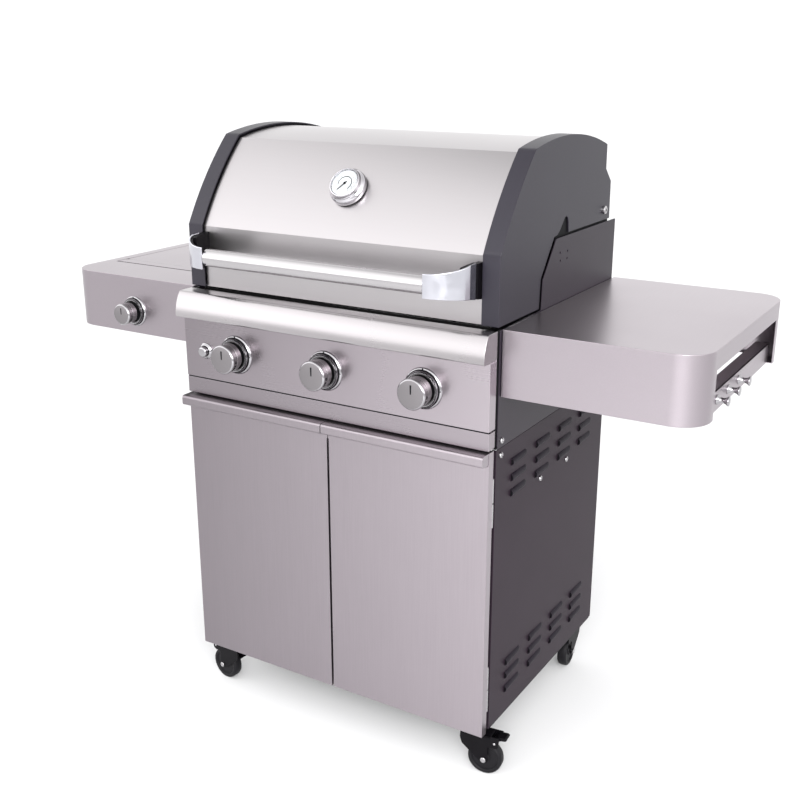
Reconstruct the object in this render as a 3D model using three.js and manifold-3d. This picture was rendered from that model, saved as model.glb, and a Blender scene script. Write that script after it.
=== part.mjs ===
// Three-burner gas barbecue grill with a side burner, on a four-caster cabinet.
// Millimetres, +Z up, the front faces -Y. Design coordinates put x = 0 on the cabinet's middle,
// y = 0 on the front face of the doors and z = 0 on the floor; the last lines move the origin to the
// middle of the footprint.
import * as THREE from "three";
import { mergeVertices } from "three/addons/utils/BufferGeometryUtils.js";
import Module from "manifold-3d";

const wasm = await Module();
wasm.setup();

// ---------------------------------------------------------------- driving dimensions
const SHEET = 1.8; // sheet metal thickness
const GAP = 0.4; // gap between pieces that rest on each other

const CASTER_HEIGHT = 104; // floor to the underside of the bottom shelf
const CABINET = { half: 353, front: 28, back: 557, bottom: 109, top: 695 };
const UPPER = { inner: 352.7, back: 562, bottom: 697, top: 1047 };
const DOOR = { half: 352.8, thick: 18, bottom: 104, top: 698, halfGap: 2.5 };
const LIP = { reach: 25, height: 28, end: 352, halfGap: 0.8 };
const TRIM = { half: 352.3, front: -2, back: 22, bottom: 702, top: 736 };
const PANEL = { half: 352.3, front: -3, back: 22, bottom: 738, top: 919, noseBottom: 869 };
const LID = { half: 352, capWidth: 35, front: 26, bottom: 924, skinInset: 7 };
const LID_PIVOT = { y: 498, z: 1072 };
const SHELF = { inner: 355.5, outer: 716.5, front: 34, back: 572, bottom: 796, top: 920, corner: 57 };
const FIREBOX = { half: 330, front: 40, back: 540, bottom: 748, top: 919, rearTop: 1000 };
const BURNER_PITCH = 218; // spacing of knobs, valves, burners and grates
const KNOB_Z = 800;
const KNOB_FACE = -50;
const SIDE_KNOB = { x: -528, y: 34, z: 845, bezelScale: 0.825 };
const IGNITER = { x: -298, z: 797 };
const WHEEL = { radius: 36, width: 22, trail: 27 };
const HOOK = { reach: 22, ys: [152, 221, 290], z: 818 };
const RAIL_FACE = 706.5; // the towel rail's outer face, set in from the shelf's end

// ---------------------------------------------------------------- solids
// A closed three.js geometry as a manifold-3d solid that faces outwards.
function solid(geometry) {
  const bare = geometry.index ? geometry.toNonIndexed() : geometry.clone();
  bare.deleteAttribute("normal");
  bare.deleteAttribute("uv");
  const merged = mergeVertices(bare, 1e-4);
  const make = (triVerts) =>
    new wasm.Manifold(
      new wasm.Mesh({ numProp: 3, vertProperties: merged.attributes.position.array, triVerts }),
    );
  const faces = new Uint32Array(merged.index.array);
  const made = make(faces);
  return made.volume() > 0 ? made : make(faces.reverse());
}

// A solid's surface as a three.js geometry.
function geometryOf(body) {
  const mesh = body.getMesh();
  const points = new Float32Array(mesh.numVert * 3);
  for (let i = 0; i < mesh.numVert; i++) {
    points.set(mesh.vertProperties.subarray(i * mesh.numProp, i * mesh.numProp + 3), i * 3);
  }
  const geometry = new THREE.BufferGeometry()
    .setAttribute("position", new THREE.BufferAttribute(points, 3))
    .setIndex(new THREE.BufferAttribute(mesh.triVerts, 1));
  return geometry.toNonIndexed();
}

const union = (...bodies) => bodies.flat().reduce((a, b) => a.add(b));
const cut = (body, ...tools) => body.subtract(union(...tools));
const flipX = (body) => solid(geometryOf(body).scale(-1, 1, 1));
const moved = (body, x, y, z) => solid(geometryOf(body).translate(x, y, z));

function box([x0, x1], [y0, y1], [z0, z1]) {
  const geometry = new THREE.BoxGeometry(x1 - x0, y1 - y0, z1 - z0);
  return solid(geometry.translate((x0 + x1) / 2, (y0 + y1) / 2, (z0 + z1) / 2));
}

function shapeOf(points) {
  return new THREE.Shape(points.map(([a, b]) => new THREE.Vector2(a, b)));
}

function extruded(shape, depth, steps = 4) {
  return new THREE.ExtrudeGeometry(shape, { depth, bevelEnabled: false, curveSegments: steps });
}

const AXES = {
  x: new THREE.Matrix4().set(0, 0, 1, 0, 1, 0, 0, 0, 0, 1, 0, 0, 0, 0, 0, 1),
  y: new THREE.Matrix4().set(1, 0, 0, 0, 0, 0, -1, 0, 0, 1, 0, 0, 0, 0, 0, 1),
  z: new THREE.Matrix4(),
};

// Prisms: a YZ outline along X, an XZ outline along Y, an XY outline along Z.
function alongX(outline, x0, x1) {
  return solid(extruded(shapeOf(outline), x1 - x0).applyMatrix4(AXES.x).translate(x0, 0, 0));
}
function alongY(outline, y0, y1) {
  return solid(extruded(shapeOf(outline), y1 - y0).applyMatrix4(AXES.y).translate(0, y1, 0));
}
function alongZ(outline, z0, z1, steps = 4) {
  const shape = outline instanceof THREE.Shape ? outline : shapeOf(outline);
  return solid(extruded(shape, z1 - z0, steps).translate(0, 0, z0));
}

// A round bar along one axis, between two places on it, through the point (a, b) of the other two.
function rod(axis, radius, [from, to], [a, b], sides = 16) {
  const geometry = new THREE.CylinderGeometry(radius, radius, to - from, sides);
  const middle = (from + to) / 2;
  if (axis === "x") geometry.rotateZ(-Math.PI / 2).translate(middle, a, b);
  if (axis === "y") geometry.translate(a, middle, b);
  if (axis === "z") geometry.rotateX(Math.PI / 2).translate(a, b, middle);
  return solid(geometry);
}

// A turned piece: [radius, height] points round the +Z axis.
function turned(profile, sides = 24) {
  const points = profile.map(([r, h]) => new THREE.Vector2(r, h));
  return solid(new THREE.LatheGeometry(points, sides).rotateX(Math.PI / 2));
}

// Points of a circular arc from a to b that bulges to the left of a -> b by sagitta.
function arc(a, b, sagitta, steps) {
  const chord = Math.hypot(b[0] - a[0], b[1] - a[1]);
  const radius = chord ** 2 / (8 * sagitta) + sagitta / 2;
  const half = Math.asin(chord / 2 / radius);
  const along = [(b[0] - a[0]) / chord, (b[1] - a[1]) / chord];
  const left = [-along[1], along[0]];
  return Array.from({ length: steps + 1 }, (_, i) => {
    const angle = half * ((2 * i) / steps - 1);
    const s = chord / 2 + radius * Math.sin(angle);
    const h = radius * Math.cos(angle) - (radius - sagitta);
    return [a[0] + along[0] * s + left[0] * h, a[1] + along[1] * s + left[1] * h];
  });
}

// An open path moved sideways, to the right of its direction, with mitred corners.
function offsetPath(path, distance) {
  const normals = path.slice(1).map(([x, y], i) => {
    const [px, py] = path[i];
    const length = Math.hypot(x - px, y - py);
    return [(y - py) / length, -(x - px) / length];
  });
  return path.map(([x, y], i) => {
    const before = normals[Math.max(0, i - 1)];
    const after = normals[Math.min(normals.length - 1, i)];
    const sum = [before[0] + after[0], before[1] + after[1]];
    const scale = distance / (1 + before[0] * after[0] + before[1] * after[1]);
    return [x + sum[0] * scale, y + sum[1] * scale];
  });
}

// The outline of a bent sheet whose left surface follows the path.
const bentSheet = (path, from, to) => [
  ...offsetPath(path, from),
  ...offsetPath(path, to).reverse(),
];

// A rectangle whose two outer corners, on the +X side, are rounded.
function roundedPlan(x0, x1, y0, y1, radius) {
  const shape = new THREE.Shape();
  shape.moveTo(x0, y0);
  shape.lineTo(x1 - radius, y0);
  shape.absarc(x1 - radius, y0 + radius, radius, -Math.PI / 2, 0);
  shape.lineTo(x1, y1 - radius);
  shape.absarc(x1 - radius, y1 - radius, radius, 0, Math.PI / 2);
  shape.lineTo(x0, y1);
  shape.closePath();
  return shape;
}

// ---------------------------------------------------------------- materials
const finish = (color, roughness, metalness) =>
  new THREE.MeshStandardMaterial({ color, roughness, metalness });
const BRUSHED_STEEL = finish(0xc9c5c8, 0.3, 1);
const DARK_PAINT = finish(0x4b484d, 0.5, 0.4);
const BLACK_PAINT = finish(0x26262a, 0.5, 0.3);
const CHROME = finish(0xe8e8ec, 0.08, 1);
const BLACK_PLASTIC = finish(0x17171a, 0.55, 0);
const TYRE = finish(0x222224, 0.7, 0);
const GALVANISED = finish(0x9a9a9c, 0.4, 1);
const CAST = finish(0x6f6d6c, 0.5, 0.9);
const BRASS = finish(0xb39a55, 0.35, 1);

// A named node.
function piece(name, body, material) {
  const mesh = new THREE.Mesh(geometryOf(body), material);
  mesh.name = name;
  return mesh;
}

function place(node, x, y, z) {
  node.position.set(x, y, z);
  return node;
}

// ---------------------------------------------------------------- cabinet
// One pressed scoop in a side panel: a hood that is open at its front end.
const SCOOP = { length: 68, height: 15, reach: 5.5, columns: [93, 203, 313, 421] };
SCOOP.rows = [652, 620, 589, 225, 195, 164];

function scoops() {
  const skin = CABINET.half;
  const hoods = [];
  const hollows = [];
  for (const y of SCOOP.columns) {
    for (const z of SCOOP.rows) {
      const back = y + SCOOP.length;
      const span = [z - SCOOP.height / 2, z + SCOOP.height / 2];
      const hood = [[skin - 0.5, y], [skin + SCOOP.reach, y], [skin + 1, back], [skin - 0.5, back]];
      const hollow = [
        [skin - 4, y + 1],
        [skin, y + 1],
        [skin, y - 1],
        [skin + SCOOP.reach - 1.2, y - 1],
        [skin, back - 5],
        [skin - 4, back - 5],
      ];
      hoods.push(alongZ(hood, ...span));
      hollows.push(alongZ(hollow, span[0] + 1.2, span[1] - 1.2));
    }
  }
  return { hoods, hollows };
}

function sidePanel() {
  const { half, front, back, bottom, top } = CABINET;
  const sheet = box([half - SHEET, half], [front, back], [bottom, top]);
  const frontFlange = box([half - 9, half], [front, front + SHEET], [bottom, top]);
  const topFlange = box([half - 14, half], [front + 30, back - 20], [top - SHEET, top]);
  const { hoods, hollows } = scoops();
  return cut(union(sheet, frontFlange, topFlange, hoods), hollows);
}

// The dark upper side, with the step that the lid's cap closes round.
function upperSide() {
  const { inner, back, bottom, top } = UPPER;
  const outline = [
    [CABINET.front, bottom],
    [back, bottom],
    [back, top],
    [256, top],
    [201, 978],
    [198, 921],
    [CABINET.front, 919],
  ];
  const sheet = alongX(outline, inner, inner + SHEET);
  const rivets = [[276, 1018], [312, 1016], [279, 1002], [311, 1002]];
  return cut(sheet, rivets.map((at) => rod("x", 2.2, [inner - 1, inner + SHEET + 1], at, 6)));
}

// Welded frame behind the doors: two posts and a header, with the lower knuckle and the pin of two
// butt hinges on each post. The header is notched round the gas inlet.
const HINGE = { x: 349, y: 22.6, radius: 3.4, pin: 1.7, half: 49, zs: [200, 593] };
const HEADER = { front: 23.2, back: 25, bottom: 680, step: 700, top: 734, clearOfHinge: 341 };

function frontPost() {
  const inner = CABINET.half - SHEET - GAP;
  const plate = box([318, inner], [30.2, 32], [CABINET.bottom + 2, CABINET.top - 3]);
  const web = box([318, 320], [30.2, 62], [CABINET.bottom + 2, CABINET.top - 3]);
  const joint = box([318, 336], [HEADER.front, 31], [HEADER.bottom, HEADER.bottom + 8]);
  const hinges = HINGE.zs.flatMap((z) => {
    const { x, y, radius, pin, half } = HINGE;
    return [
      box([x - 24, x - 0.4], [y + 0.8, y + 2.8], [z - half, z - 1]),
      box([x - 24, x - 5], [y + 1, 30.6], [z - half, z - 1]),
      rod("z", radius, [z - half, z - 1], [x, y], 12),
      rod("z", pin, [z - 2, z + half - 3], [x, y], 8),
    ];
  });
  return union(plate, web, joint, hinges);
}

function frontFrame() {
  const post = frontPost();
  const { front, back, bottom, step, top, clearOfHinge } = HEADER;
  const inner = CABINET.half - SHEET - GAP;
  const lower = box([-clearOfHinge, clearOfHinge], [front, back], [bottom, top]);
  const upper = box([-inner, inner], [front, back], [step, top]);
  const inletNotch = box([284, 308], [front - 1, back + 1], [step + 20, top + 1]);
  return union(cut(union(lower, upper), inletNotch), post, flipX(post));
}

function bottomShelf() {
  const half = CABINET.half - SHEET - GAP;
  const [front, back] = [34, CABINET.back - SHEET - GAP];
  const pan = box([-half, half], [front, back], [CASTER_HEIGHT, CASTER_HEIGHT + SHEET]);
  const rims = [
    box([-half, half], [front, front + SHEET], [CASTER_HEIGHT, CASTER_HEIGHT + 5]),
    box([-half, half], [back - SHEET, back], [CASTER_HEIGHT, CASTER_HEIGHT + 22]),
  ];
  const plates = CASTERS.flatMap(({ x, y }) => {
    const xs = [x - CASTER_PLATE, x + CASTER_PLATE];
    const ys = [y - CASTER_PLATE, y + CASTER_PLATE];
    return [
      box(xs, ys, [CASTER_HEIGHT - 3, CASTER_HEIGHT - 0.8]),
      box(xs, [Math.max(front, ys[0]), ys[1]], [CASTER_HEIGHT - 1, CASTER_HEIGHT + 0.5]),
    ];
  });
  const tankRing = turned([[103, 0], [107, 0], [107, 26], [103, 26], [103, 0]], 28);
  return union(pan, rims, plates, moved(tankRing, 150, 320, CASTER_HEIGHT + SHEET - 0.3));
}

function backPanel() {
  const half = CABINET.half - SHEET - GAP;
  const y = CABINET.back;
  const sheet = box([-half, half], [y - SHEET, y], [CABINET.bottom, 684]);
  const flange = box([-half, half], [y - 16, y], [684 - SHEET, 684]);
  const opening = box([-250, 250], [y - 8, y + 8], [420, 640]);
  const vents = [-280, -180, -80, 80, 180, 280].map((x) =>
    box([x - 34, x + 34], [y - 4, y + 2], [180, 190]),
  );
  return cut(union(sheet, flange), opening, vents);
}

// ---------------------------------------------------------------- doors
// The folded top edge of a door is its handle: a hollow lip with rounded edges.
function doorLip() {
  const { reach, height, end, halfGap } = LIP;
  const { top, thick } = DOOR;
  const foot = top - height - 10;
  const line = [
    [thick, top],
    [-reach + 6, top],
    [-reach + 2, top - 1.5],
    [-reach, top - 5],
    [-reach, top - 15],
    [-reach + 2, top - 18.5],
    [-reach + 6, top - 20.5],
    [-4, top - height + 2],
    [0, top - height],
    [0, foot],
  ];
  const body = alongX([[SHEET, top], ...line.slice(1), [SHEET, foot]], halfGap, end);
  const inside = [...offsetPath(line, -SHEET).slice(1), [thick - SHEET, foot]];
  const hollow = alongX([[thick - SHEET, top - SHEET], ...inside], halfGap + SHEET, end - SHEET);
  return { body, hollow };
}

function door() {
  const { half, thick, bottom, top, halfGap } = DOOR;
  const lip = doorLip();
  const pan = box([halfGap, half], [0, thick], [bottom, top]);
  const hollow = box(
    [halfGap + SHEET, half - SHEET],
    [SHEET, thick - SHEET],
    [bottom + SHEET, top - SHEET],
  );
  const backHole = box([24, half - 30], [thick - 4, thick + 4], [bottom + 30, top - 60]);
  const leaves = HINGE.zs.flatMap((z) => {
    const { x, y, radius, pin, half: reach } = HINGE;
    const knuckle = rod("z", radius, [z, z + reach], [x, y], 12);
    const bore = rod("z", pin + 0.5, [z - 1, z + reach + 1], [x, y], 8);
    const leaf = box([x - 24, x - 1], [thick - 1, thick + 1.6], [z, z + reach]);
    return [cut(union(knuckle, leaf, box([x - 1.5, x + 1], [thick, y], [z, z + reach])), bore)];
  });
  return union(cut(union(pan, lip.body), hollow, lip.hollow, backHole), leaves);
}

// ---------------------------------------------------------------- control panel
// Stepped ring round a knob, standing on a panel's front face.
const BEZEL = { outer: 40, step: 35, inner: 30.2, height: 13 };

function bezelAt(x, y, z, scale = 1) {
  const [outer, step, inner, height] = [BEZEL.outer, BEZEL.step, BEZEL.inner, BEZEL.height].map(
    (size) => size * scale,
  );
  const ring = turned([
    [inner, -0.5],
    [outer, -0.5],
    [outer - 1, 4],
    [step, 7],
    [step - 2, height],
    [inner, height],
    [inner, -0.5],
  ], 20);
  return moved(solid(geometryOf(ring).rotateX(Math.PI / 2)), x, y, z);
}

function controlPanel() {
  const { half, front, back, bottom, top, noseBottom } = PANEL;
  const nose = arc([-28.5, noseBottom], [-12, top - 1], 4, 5);
  const face = [
    [back, bottom],
    [front, bottom],
    [front - 1, noseBottom - 6],
    [-10, noseBottom - 3],
    [-24, noseBottom - 2],
    ...nose,
    [-6, top],
    [back, top],
  ];
  const outer = alongX(face, -half, half);
  const inside = offsetPath(face, SHEET);
  inside[0][0] = back + 5;
  inside[inside.length - 1][0] = back + 5;
  const hollow = alongX(inside, -half + SHEET, half - SHEET);
  const stemHoles = [-BURNER_PITCH, 0, BURNER_PITCH].map((x) =>
    rod("y", 13, [-12, 8], [x, KNOB_Z], 16),
  );
  const igniterHole = rod("y", 7.5, [-12, 8], [IGNITER.x, IGNITER.z], 12);
  const bezels = [-BURNER_PITCH, 0, BURNER_PITCH].map((x) => bezelAt(x, front, KNOB_Z));
  const collar = turned([[11.2, -0.5], [17, -0.5], [17, 2], [14, 5], [11.2, 5], [11.2, -0.5]], 20);
  const seated = moved(solid(geometryOf(collar).rotateX(Math.PI / 2)), IGNITER.x, front - 0.4, IGNITER.z);
  return union(cut(outer, hollow, stemHoles, igniterHole), bezels, seated);
}

function panelTrim() {
  const { half, front, back, bottom, top } = TRIM;
  const outer = box([-half, half], [front, back], [bottom, top]);
  const hollow = box(
    [-half + SHEET, half - SHEET],
    [front + SHEET, back + 5],
    [bottom + SHEET, top - SHEET],
  );
  return cut(outer, hollow);
}

// A knob: brushed drum with a bevelled face and a bore for its stem. Front faces +Z in its own frame.
function knob(radius, depth) {
  const drum = turned([
    [0, 0],
    [radius - 2.5, 0],
    [radius - 1.5, 2],
    [radius - 1.5, depth - 7],
    [radius, depth - 6],
    [radius, depth - 2.5],
    [radius - 2, depth],
    [0, depth],
  ]);
  return cut(drum, rod("z", 4.8, [-1, depth - 9], [0, 0], 12));
}

const stem = (length) => rod("z", 4, [0, length], [0, 0], 12);
const button = () =>
  turned([[0, -12], [6.6, -12], [6.6, 2], [10.6, 2], [10.6, 10], [8.5, 12.5], [0, 12.5]], 20);

// ---------------------------------------------------------------- gas train
function gasManifold() {
  const [y, z] = [31, 776];
  const rail = rod("x", 8, [-262, 300], [y, z], 12);
  const valves = [-BURNER_PITCH, 0, BURNER_PITCH].flatMap((x) => [
    box([x - 12, x + 12], [7, 36], [z + 2, KNOB_Z + 14]),
    rod("y", 4, [34, 58], [x, KNOB_Z], 8),
  ]);
  const elbow = rod("z", 6.5, [z - 42, z + 6], [296, y], 12);
  const nut = rod("z", 8.6, [z - 54, z - 36], [296, y], 6);
  const bore = rod("z", 3.5, [z - 60, z - 30], [296, y], 8);
  return cut(union(rail, valves, elbow, nut), bore);
}

// Burner: a closed steel tube with an open flared mouth that takes the valve's jet.
function burnerTube() {
  const tube = turned([
    [0, 416],
    [17, 416],
    [17, 70],
    [12, 40],
    [16, 0],
    [13, 0],
    [9.5, 38],
    [14, 70],
    [14, 412],
    [0, 412],
  ], 14);
  return solid(geometryOf(tube).rotateX(-Math.PI / 2));
}

const CELL = 216; // width of one grate
const GRATE_SPAN = [62, 506];

function emitter() {
  const [front, back] = GRATE_SPAN;
  const [low, high] = [856, 882];
  const half = CELL / 2 - 1;
  const profile = [[-half, high], [-half, low], [half, low], [half, high]];
  const troughs = [...Array(5).keys()].map((i) => {
    const x = -half + (2 * half * (i + 0.5)) / 5;
    return box([x - 5, x + 5], [front + 20, back - 20], [low - 8, low + 1]);
  });
  const tray = alongY(bentSheet(profile, 0, -SHEET), front, back);
  return union(tray, troughs);
}

// A slab with slots cut through it: bars along one side of each slot, ribs between the rows.
function slotted(xs, ys, zs, columns, rows, bar, rib) {
  const slots = [];
  const pitchX = (xs[1] - xs[0] - bar) / columns;
  const pitchY = (ys[1] - ys[0] - rib) / rows;
  for (let i = 0; i < columns; i++) {
    for (let j = 0; j < rows; j++) {
      const x = xs[0] + bar + i * pitchX;
      const y = ys[0] + rib + j * pitchY;
      slots.push(box([x, x + pitchX - bar], [y, y + pitchY - rib], [zs[0] - 1, zs[1] + 1]));
    }
  }
  return cut(box(xs, ys, zs), slots);
}

function cookingGrate() {
  const [front, back] = GRATE_SPAN;
  const half = CELL / 2 - 0.6;
  const [low, high] = [900, 912];
  const feet = [-half + 3, half - 3].flatMap((x) =>
    [front + 3, back - 3].map((y) => box([x - 2, x + 2], [y - 3, y + 3], [884, low + 1])),
  );
  return union(slotted([-half, half], [front, back], [low, high], 11, 2, 6, 7), feet);
}

// ---------------------------------------------------------------- firebox
function firebox() {
  const { half, front, back, bottom, top, rearTop } = FIREBOX;
  const outer = union(
    box([-half, half], [front, back], [bottom, top]),
    box([-half, half], [back - SHEET, back], [top - 1, rearTop]),
  );
  const hollow = box([-half + SHEET, half - SHEET], [front + SHEET, back - SHEET], [bottom + SHEET, top + 1]);
  const drain = box([-120, 120], [150, 420], [bottom - 5, bottom + 5]);
  const throats = [-BURNER_PITCH, 0, BURNER_PITCH].map((x) =>
    rod("y", 19, [front - 5, front + 8], [x, KNOB_Z], 16),
  );
  const ledges = [[front + SHEET, front + 26], [back - 36, back - SHEET]].map((ys) =>
    box([-half + 1, half - 1], [ys[0] - 1, ys[1] + 1], [848 - SHEET, 848]),
  );
  const lugs = [-1, 1].map((side) => {
    const xs = [side * 338, side * 328.5].sort((a, b) => a - b);
    const outline = [
      [470, 840],
      [526, 840],
      [526, 930],
      [LID_PIVOT.y + 13, LID_PIVOT.z - 4],
      [LID_PIVOT.y + 8, LID_PIVOT.z + 11],
      [LID_PIVOT.y - 8, LID_PIVOT.z + 11],
      [LID_PIVOT.y - 13, LID_PIVOT.z - 4],
      [470, 930],
    ];
    const ear = alongX(outline, xs[0], xs[1]);
    return cut(ear, rod("x", 5.2, [xs[0] - 1, xs[1] + 1], [LID_PIVOT.y, LID_PIVOT.z], 12));
  });
  return union(cut(outer, hollow, drain, throats), ledges, lugs);
}

function greaseTray() {
  const [y0, y1, z0, z1] = [120, 572, 716, 742];
  const outer = box([-160, 160], [y0, y1 - 24], [z0, z1]);
  const hollow = box([-158, 158], [y0 + 2, y1 - 26], [z0 + 2, z1 + 1]);
  const pull = union(
    box([-70, 70], [y1 - 26, y1 - 3], [z1 - 5, z1 - 3]),
    box([-70, 70], [y1 - 5, y1 - 3], [z1 - 18, z1 - 3]),
  );
  return union(cut(outer, hollow), pull);
}

function warmingRack() {
  const z = 1064;
  const ys = [330, 445];
  const shelf = slotted([-320, 320], ys, [z, z + 4], 3, 6, 5, 4);
  const legs = [-1, 1].map((side) => {
    const xs = [side * 320 - 2, side * 320 + 2];
    const foot = box([side * 320 - 5, side * 320 + 5], [ys[0] - 6, ys[1] + 6], [FIREBOX.top + GAP, FIREBOX.top + 3]);
    const posts = ys.map((y, i) => box(xs, [y - 4 * i, y - 4 * i + 4], [FIREBOX.top + 1, z + 2]));
    return union(foot, posts);
  });
  return union(shelf, legs);
}

// ---------------------------------------------------------------- lid
// The lid's outer line in side view, from the bottom of its front, over the top, to its rear.
const LID_LINE = [
  [LID.front, LID.bottom],
  ...arc([LID.front, 1049], [155, 1219], 8, 6),
  ...arc([155, 1219], [500, 1204], 23, 8).slice(1),
  [501, 1155],
  [531, 1128],
];

function lidSkin() {
  const line = [...LID_LINE, [532, 1060]];
  const { skinInset, half, capWidth } = LID;
  const reach = half - capWidth - GAP;
  const skin = alongX(bentSheet(line, skinInset, skinInset + SHEET), -reach, reach);
  const axis = GAUGE.direction;
  const hole = new THREE.CylinderGeometry(7, 7, 30, 12);
  hole.applyQuaternion(new THREE.Quaternion().setFromUnitVectors(new THREE.Vector3(0, 1, 0), axis));
  hole.translate(0, GAUGE.y, GAUGE.z);
  return cut(skin, solid(hole));
}

// Cast end cap: an outer plate that is stepped round the upper side panel, and a rim over the skin.
function lidCap() {
  const { half, capWidth, front, bottom } = LID;
  const plate = [
    ...LID_LINE,
    [533, 1051],
    [319, 1051],
    [309, 1080],
    [300, 1082],
    [265, 1053],
    [252, 1051],
    [197, 980],
    [194, bottom],
    [front, bottom],
  ].slice(0, -1);
  const rimLine = [...LID_LINE, [531.5, 1098]];
  const pinHole = rod("x", 5.2, [half - 4, half + 1], [LID_PIVOT.y, LID_PIVOT.z], 12);
  return union(
    cut(alongX(plate, half - 3, half), pinHole),
    alongX(bentSheet(rimLine, 0, 3), half - capWidth, half - 2.9),
    box([half - capWidth, half - 2.9], [front, front + 60], [bottom, bottom + 3]),
  );
}

const HANDLE = { y: -43, z: 1001.5, radius: 17, spigot: 9, end: 246, outer: 313 };

// Elbow at each end of the handle: it carries on from the tube, sweeps back and grows taller.
function handleMount() {
  const { y, z, radius, spigot, end, outer } = HANDLE;
  const front = y - radius;
  const back = LID.front + LID.skinInset - GAP;
  const sweep = new THREE.CubicBezierCurve(
    new THREE.Vector2(end, front),
    new THREE.Vector2(end + 30, front),
    new THREE.Vector2(outer - 4, front + 26),
    new THREE.Vector2(outer, -8),
  );
  const outline = [
    ...sweep.getPoints(9).map((p) => [p.x, p.y]),
    [outer + 2, back],
    [outer - 10, back],
    [end + 24, y + radius + 6],
    [end + 14, y + radius - 2],
    [end, y + radius - 2],
  ];
  const side = alongX(
    [[back, 968], [-8, 975.5], [front - 1, 980.5], [front - 1, 1022.5], [-8, 1036], [back, 1038]],
    end - 1,
    outer + 3,
  );
  const socket = rod("x", spigot + 0.4, [end - 1, end + 18], [y, z], 12);
  return cut(alongZ(outline, 960, 1044).intersect(side), socket);
}

function handleTube() {
  const { y, z, radius, spigot, end } = HANDLE;
  const tube = rod("x", radius, [-end + GAP, end - GAP], [y, z], 24);
  return union(tube, rod("x", spigot, [-end - 16, end + 16], [y, z], 12));
}

// The gauge stands square to the lid's slope.
const GAUGE = { y: 88.6, z: 1135.6, direction: new THREE.Vector3(0, -0.797, 0.604).normalize() };

function gauge() {
  return turned([[0, -16], [5, -16], [5, 0.6], [38, 0.6], [38, 6], [35, 12], [31.5, 22], [29, 24], [0, 24]], 28);
}

// Shoulder screw that the lid turns on, through the firebox's lug.
function hingePin() {
  return turned([[0, 324], [4.8, 324], [4.8, 352.6], [8.5, 352.6], [8.5, 355.5], [6.5, 357.5], [0, 357.5]], 14);
}

// ---------------------------------------------------------------- side shelves
function shelfShell() {
  const { inner, outer, front, back, bottom, top, corner } = SHELF;
  const outside = alongZ(roundedPlan(inner, outer, front, back, corner), bottom, top, 6);
  const insidePlan = roundedPlan(
    inner + SHEET,
    outer - SHEET,
    front + SHEET,
    back - SHEET,
    corner - SHEET,
  );
  const hollow = alongZ(insidePlan, bottom - 1, top - SHEET, 6);
  const hemPlan = roundedPlan(inner + 6, outer - 14, front + 14, back - 14, corner - 14);
  const hem = cut(
    alongZ(roundedPlan(inner + 1, outer - 1, front + 1, back - 1, corner - 1), bottom, bottom + SHEET, 6),
    alongZ(hemPlan, bottom - 1, bottom + 3, 6),
  );
  return union(cut(outside, hollow), hem);
}

function rightShelf() {
  const slot = box([SHELF.outer - 40, SHELF.outer + 5], [100, 506], [SHELF.bottom - 1, 884]);
  return cut(shelfShell(), slot);
}

// Channel across the end of the right shelf, with three spool-shaped tool hooks.
function towelRail() {
  const [y0, y1] = [97, 509];
  const [z0, z1] = [798, 836];
  const face = box([RAIL_FACE - SHEET, RAIL_FACE], [y0, y1], [z0, z1]);
  const flange = box([RAIL_FACE - 26, RAIL_FACE], [y0, y1], [z1 - SHEET, z1]);
  const tabs = [[y0, y0 + SHEET], [y1 - SHEET, y1]].map((ys) =>
    box([RAIL_FACE - 26, RAIL_FACE], ys, [z0, z1]),
  );
  const spool = turned([[0, -0.5], [9, -0.5], [8.5, 2], [4.5, 8], [4.5, 13], [8.5, 19], [9, HOOK.reach], [0, HOOK.reach]], 12);
  const outward = solid(geometryOf(spool).rotateY(Math.PI / 2));
  return union(face, flange, tabs, HOOK.ys.map((y) => moved(outward, RAIL_FACE, y, HOOK.z)));
}

// The side burner's opening in the left shelf.
const WELL = { x: [-690, -382], y: [147, 498] };

function leftShelf() {
  const opening = box(WELL.x, WELL.y, [SHELF.top - 10, SHELF.top + 5]);
  const stemHole = rod("y", 12, [SHELF.front - 5, SHELF.front + 5], [SIDE_KNOB.x, SIDE_KNOB.z], 16);
  const bezel = bezelAt(SIDE_KNOB.x, SHELF.front, SIDE_KNOB.z, SIDE_KNOB.bezelScale);
  return union(cut(flipX(shelfShell()), opening, stemHole), bezel);
}

function sideBurnerBowl() {
  const [x0, x1] = WELL.x;
  const [y0, y1] = WELL.y;
  const rim = SHELF.top - SHEET - GAP;
  const outer = union(
    box([x0 - 4, x1 + 4], [y0 - 8, y1 + 8], [rim - SHEET, rim]),
    box([x0 + 5, x1 - 5], [y0 + 5, y1 - 20], [862, rim]),
  );
  const hollow = box([x0 + 7, x1 - 7], [y0 + 7, y1 - 22], [864, rim + 1]);
  const throat = rod("z", 16, [855, 870], [(x0 + x1) / 2, 318], 12);
  return cut(outer, hollow, throat);
}

function sideBurnerHead() {
  const head = turned([[0, 0], [14, 0], [14, 12], [34, 14], [36, 19], [30, 25], [0, 26]], 20);
  const venturi = rod("y", 10, [-240, 4], [0, -26], 12);
  const neck = rod("z", 12, [-28, 2], [0, 0], 12);
  return union(head, venturi, neck);
}

function sideBurnerGrate() {
  const ring = turned([[92, 0], [98, 0], [98, 7], [92, 7], [92, 0]], 20);
  const fingers = [...Array(6).keys()].map((i) => {
    const finger = box([42, 128], [-3, 3], [0, 9]);
    return solid(geometryOf(finger).rotateZ((i * Math.PI) / 3));
  });
  return union(ring, fingers);
}

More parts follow.
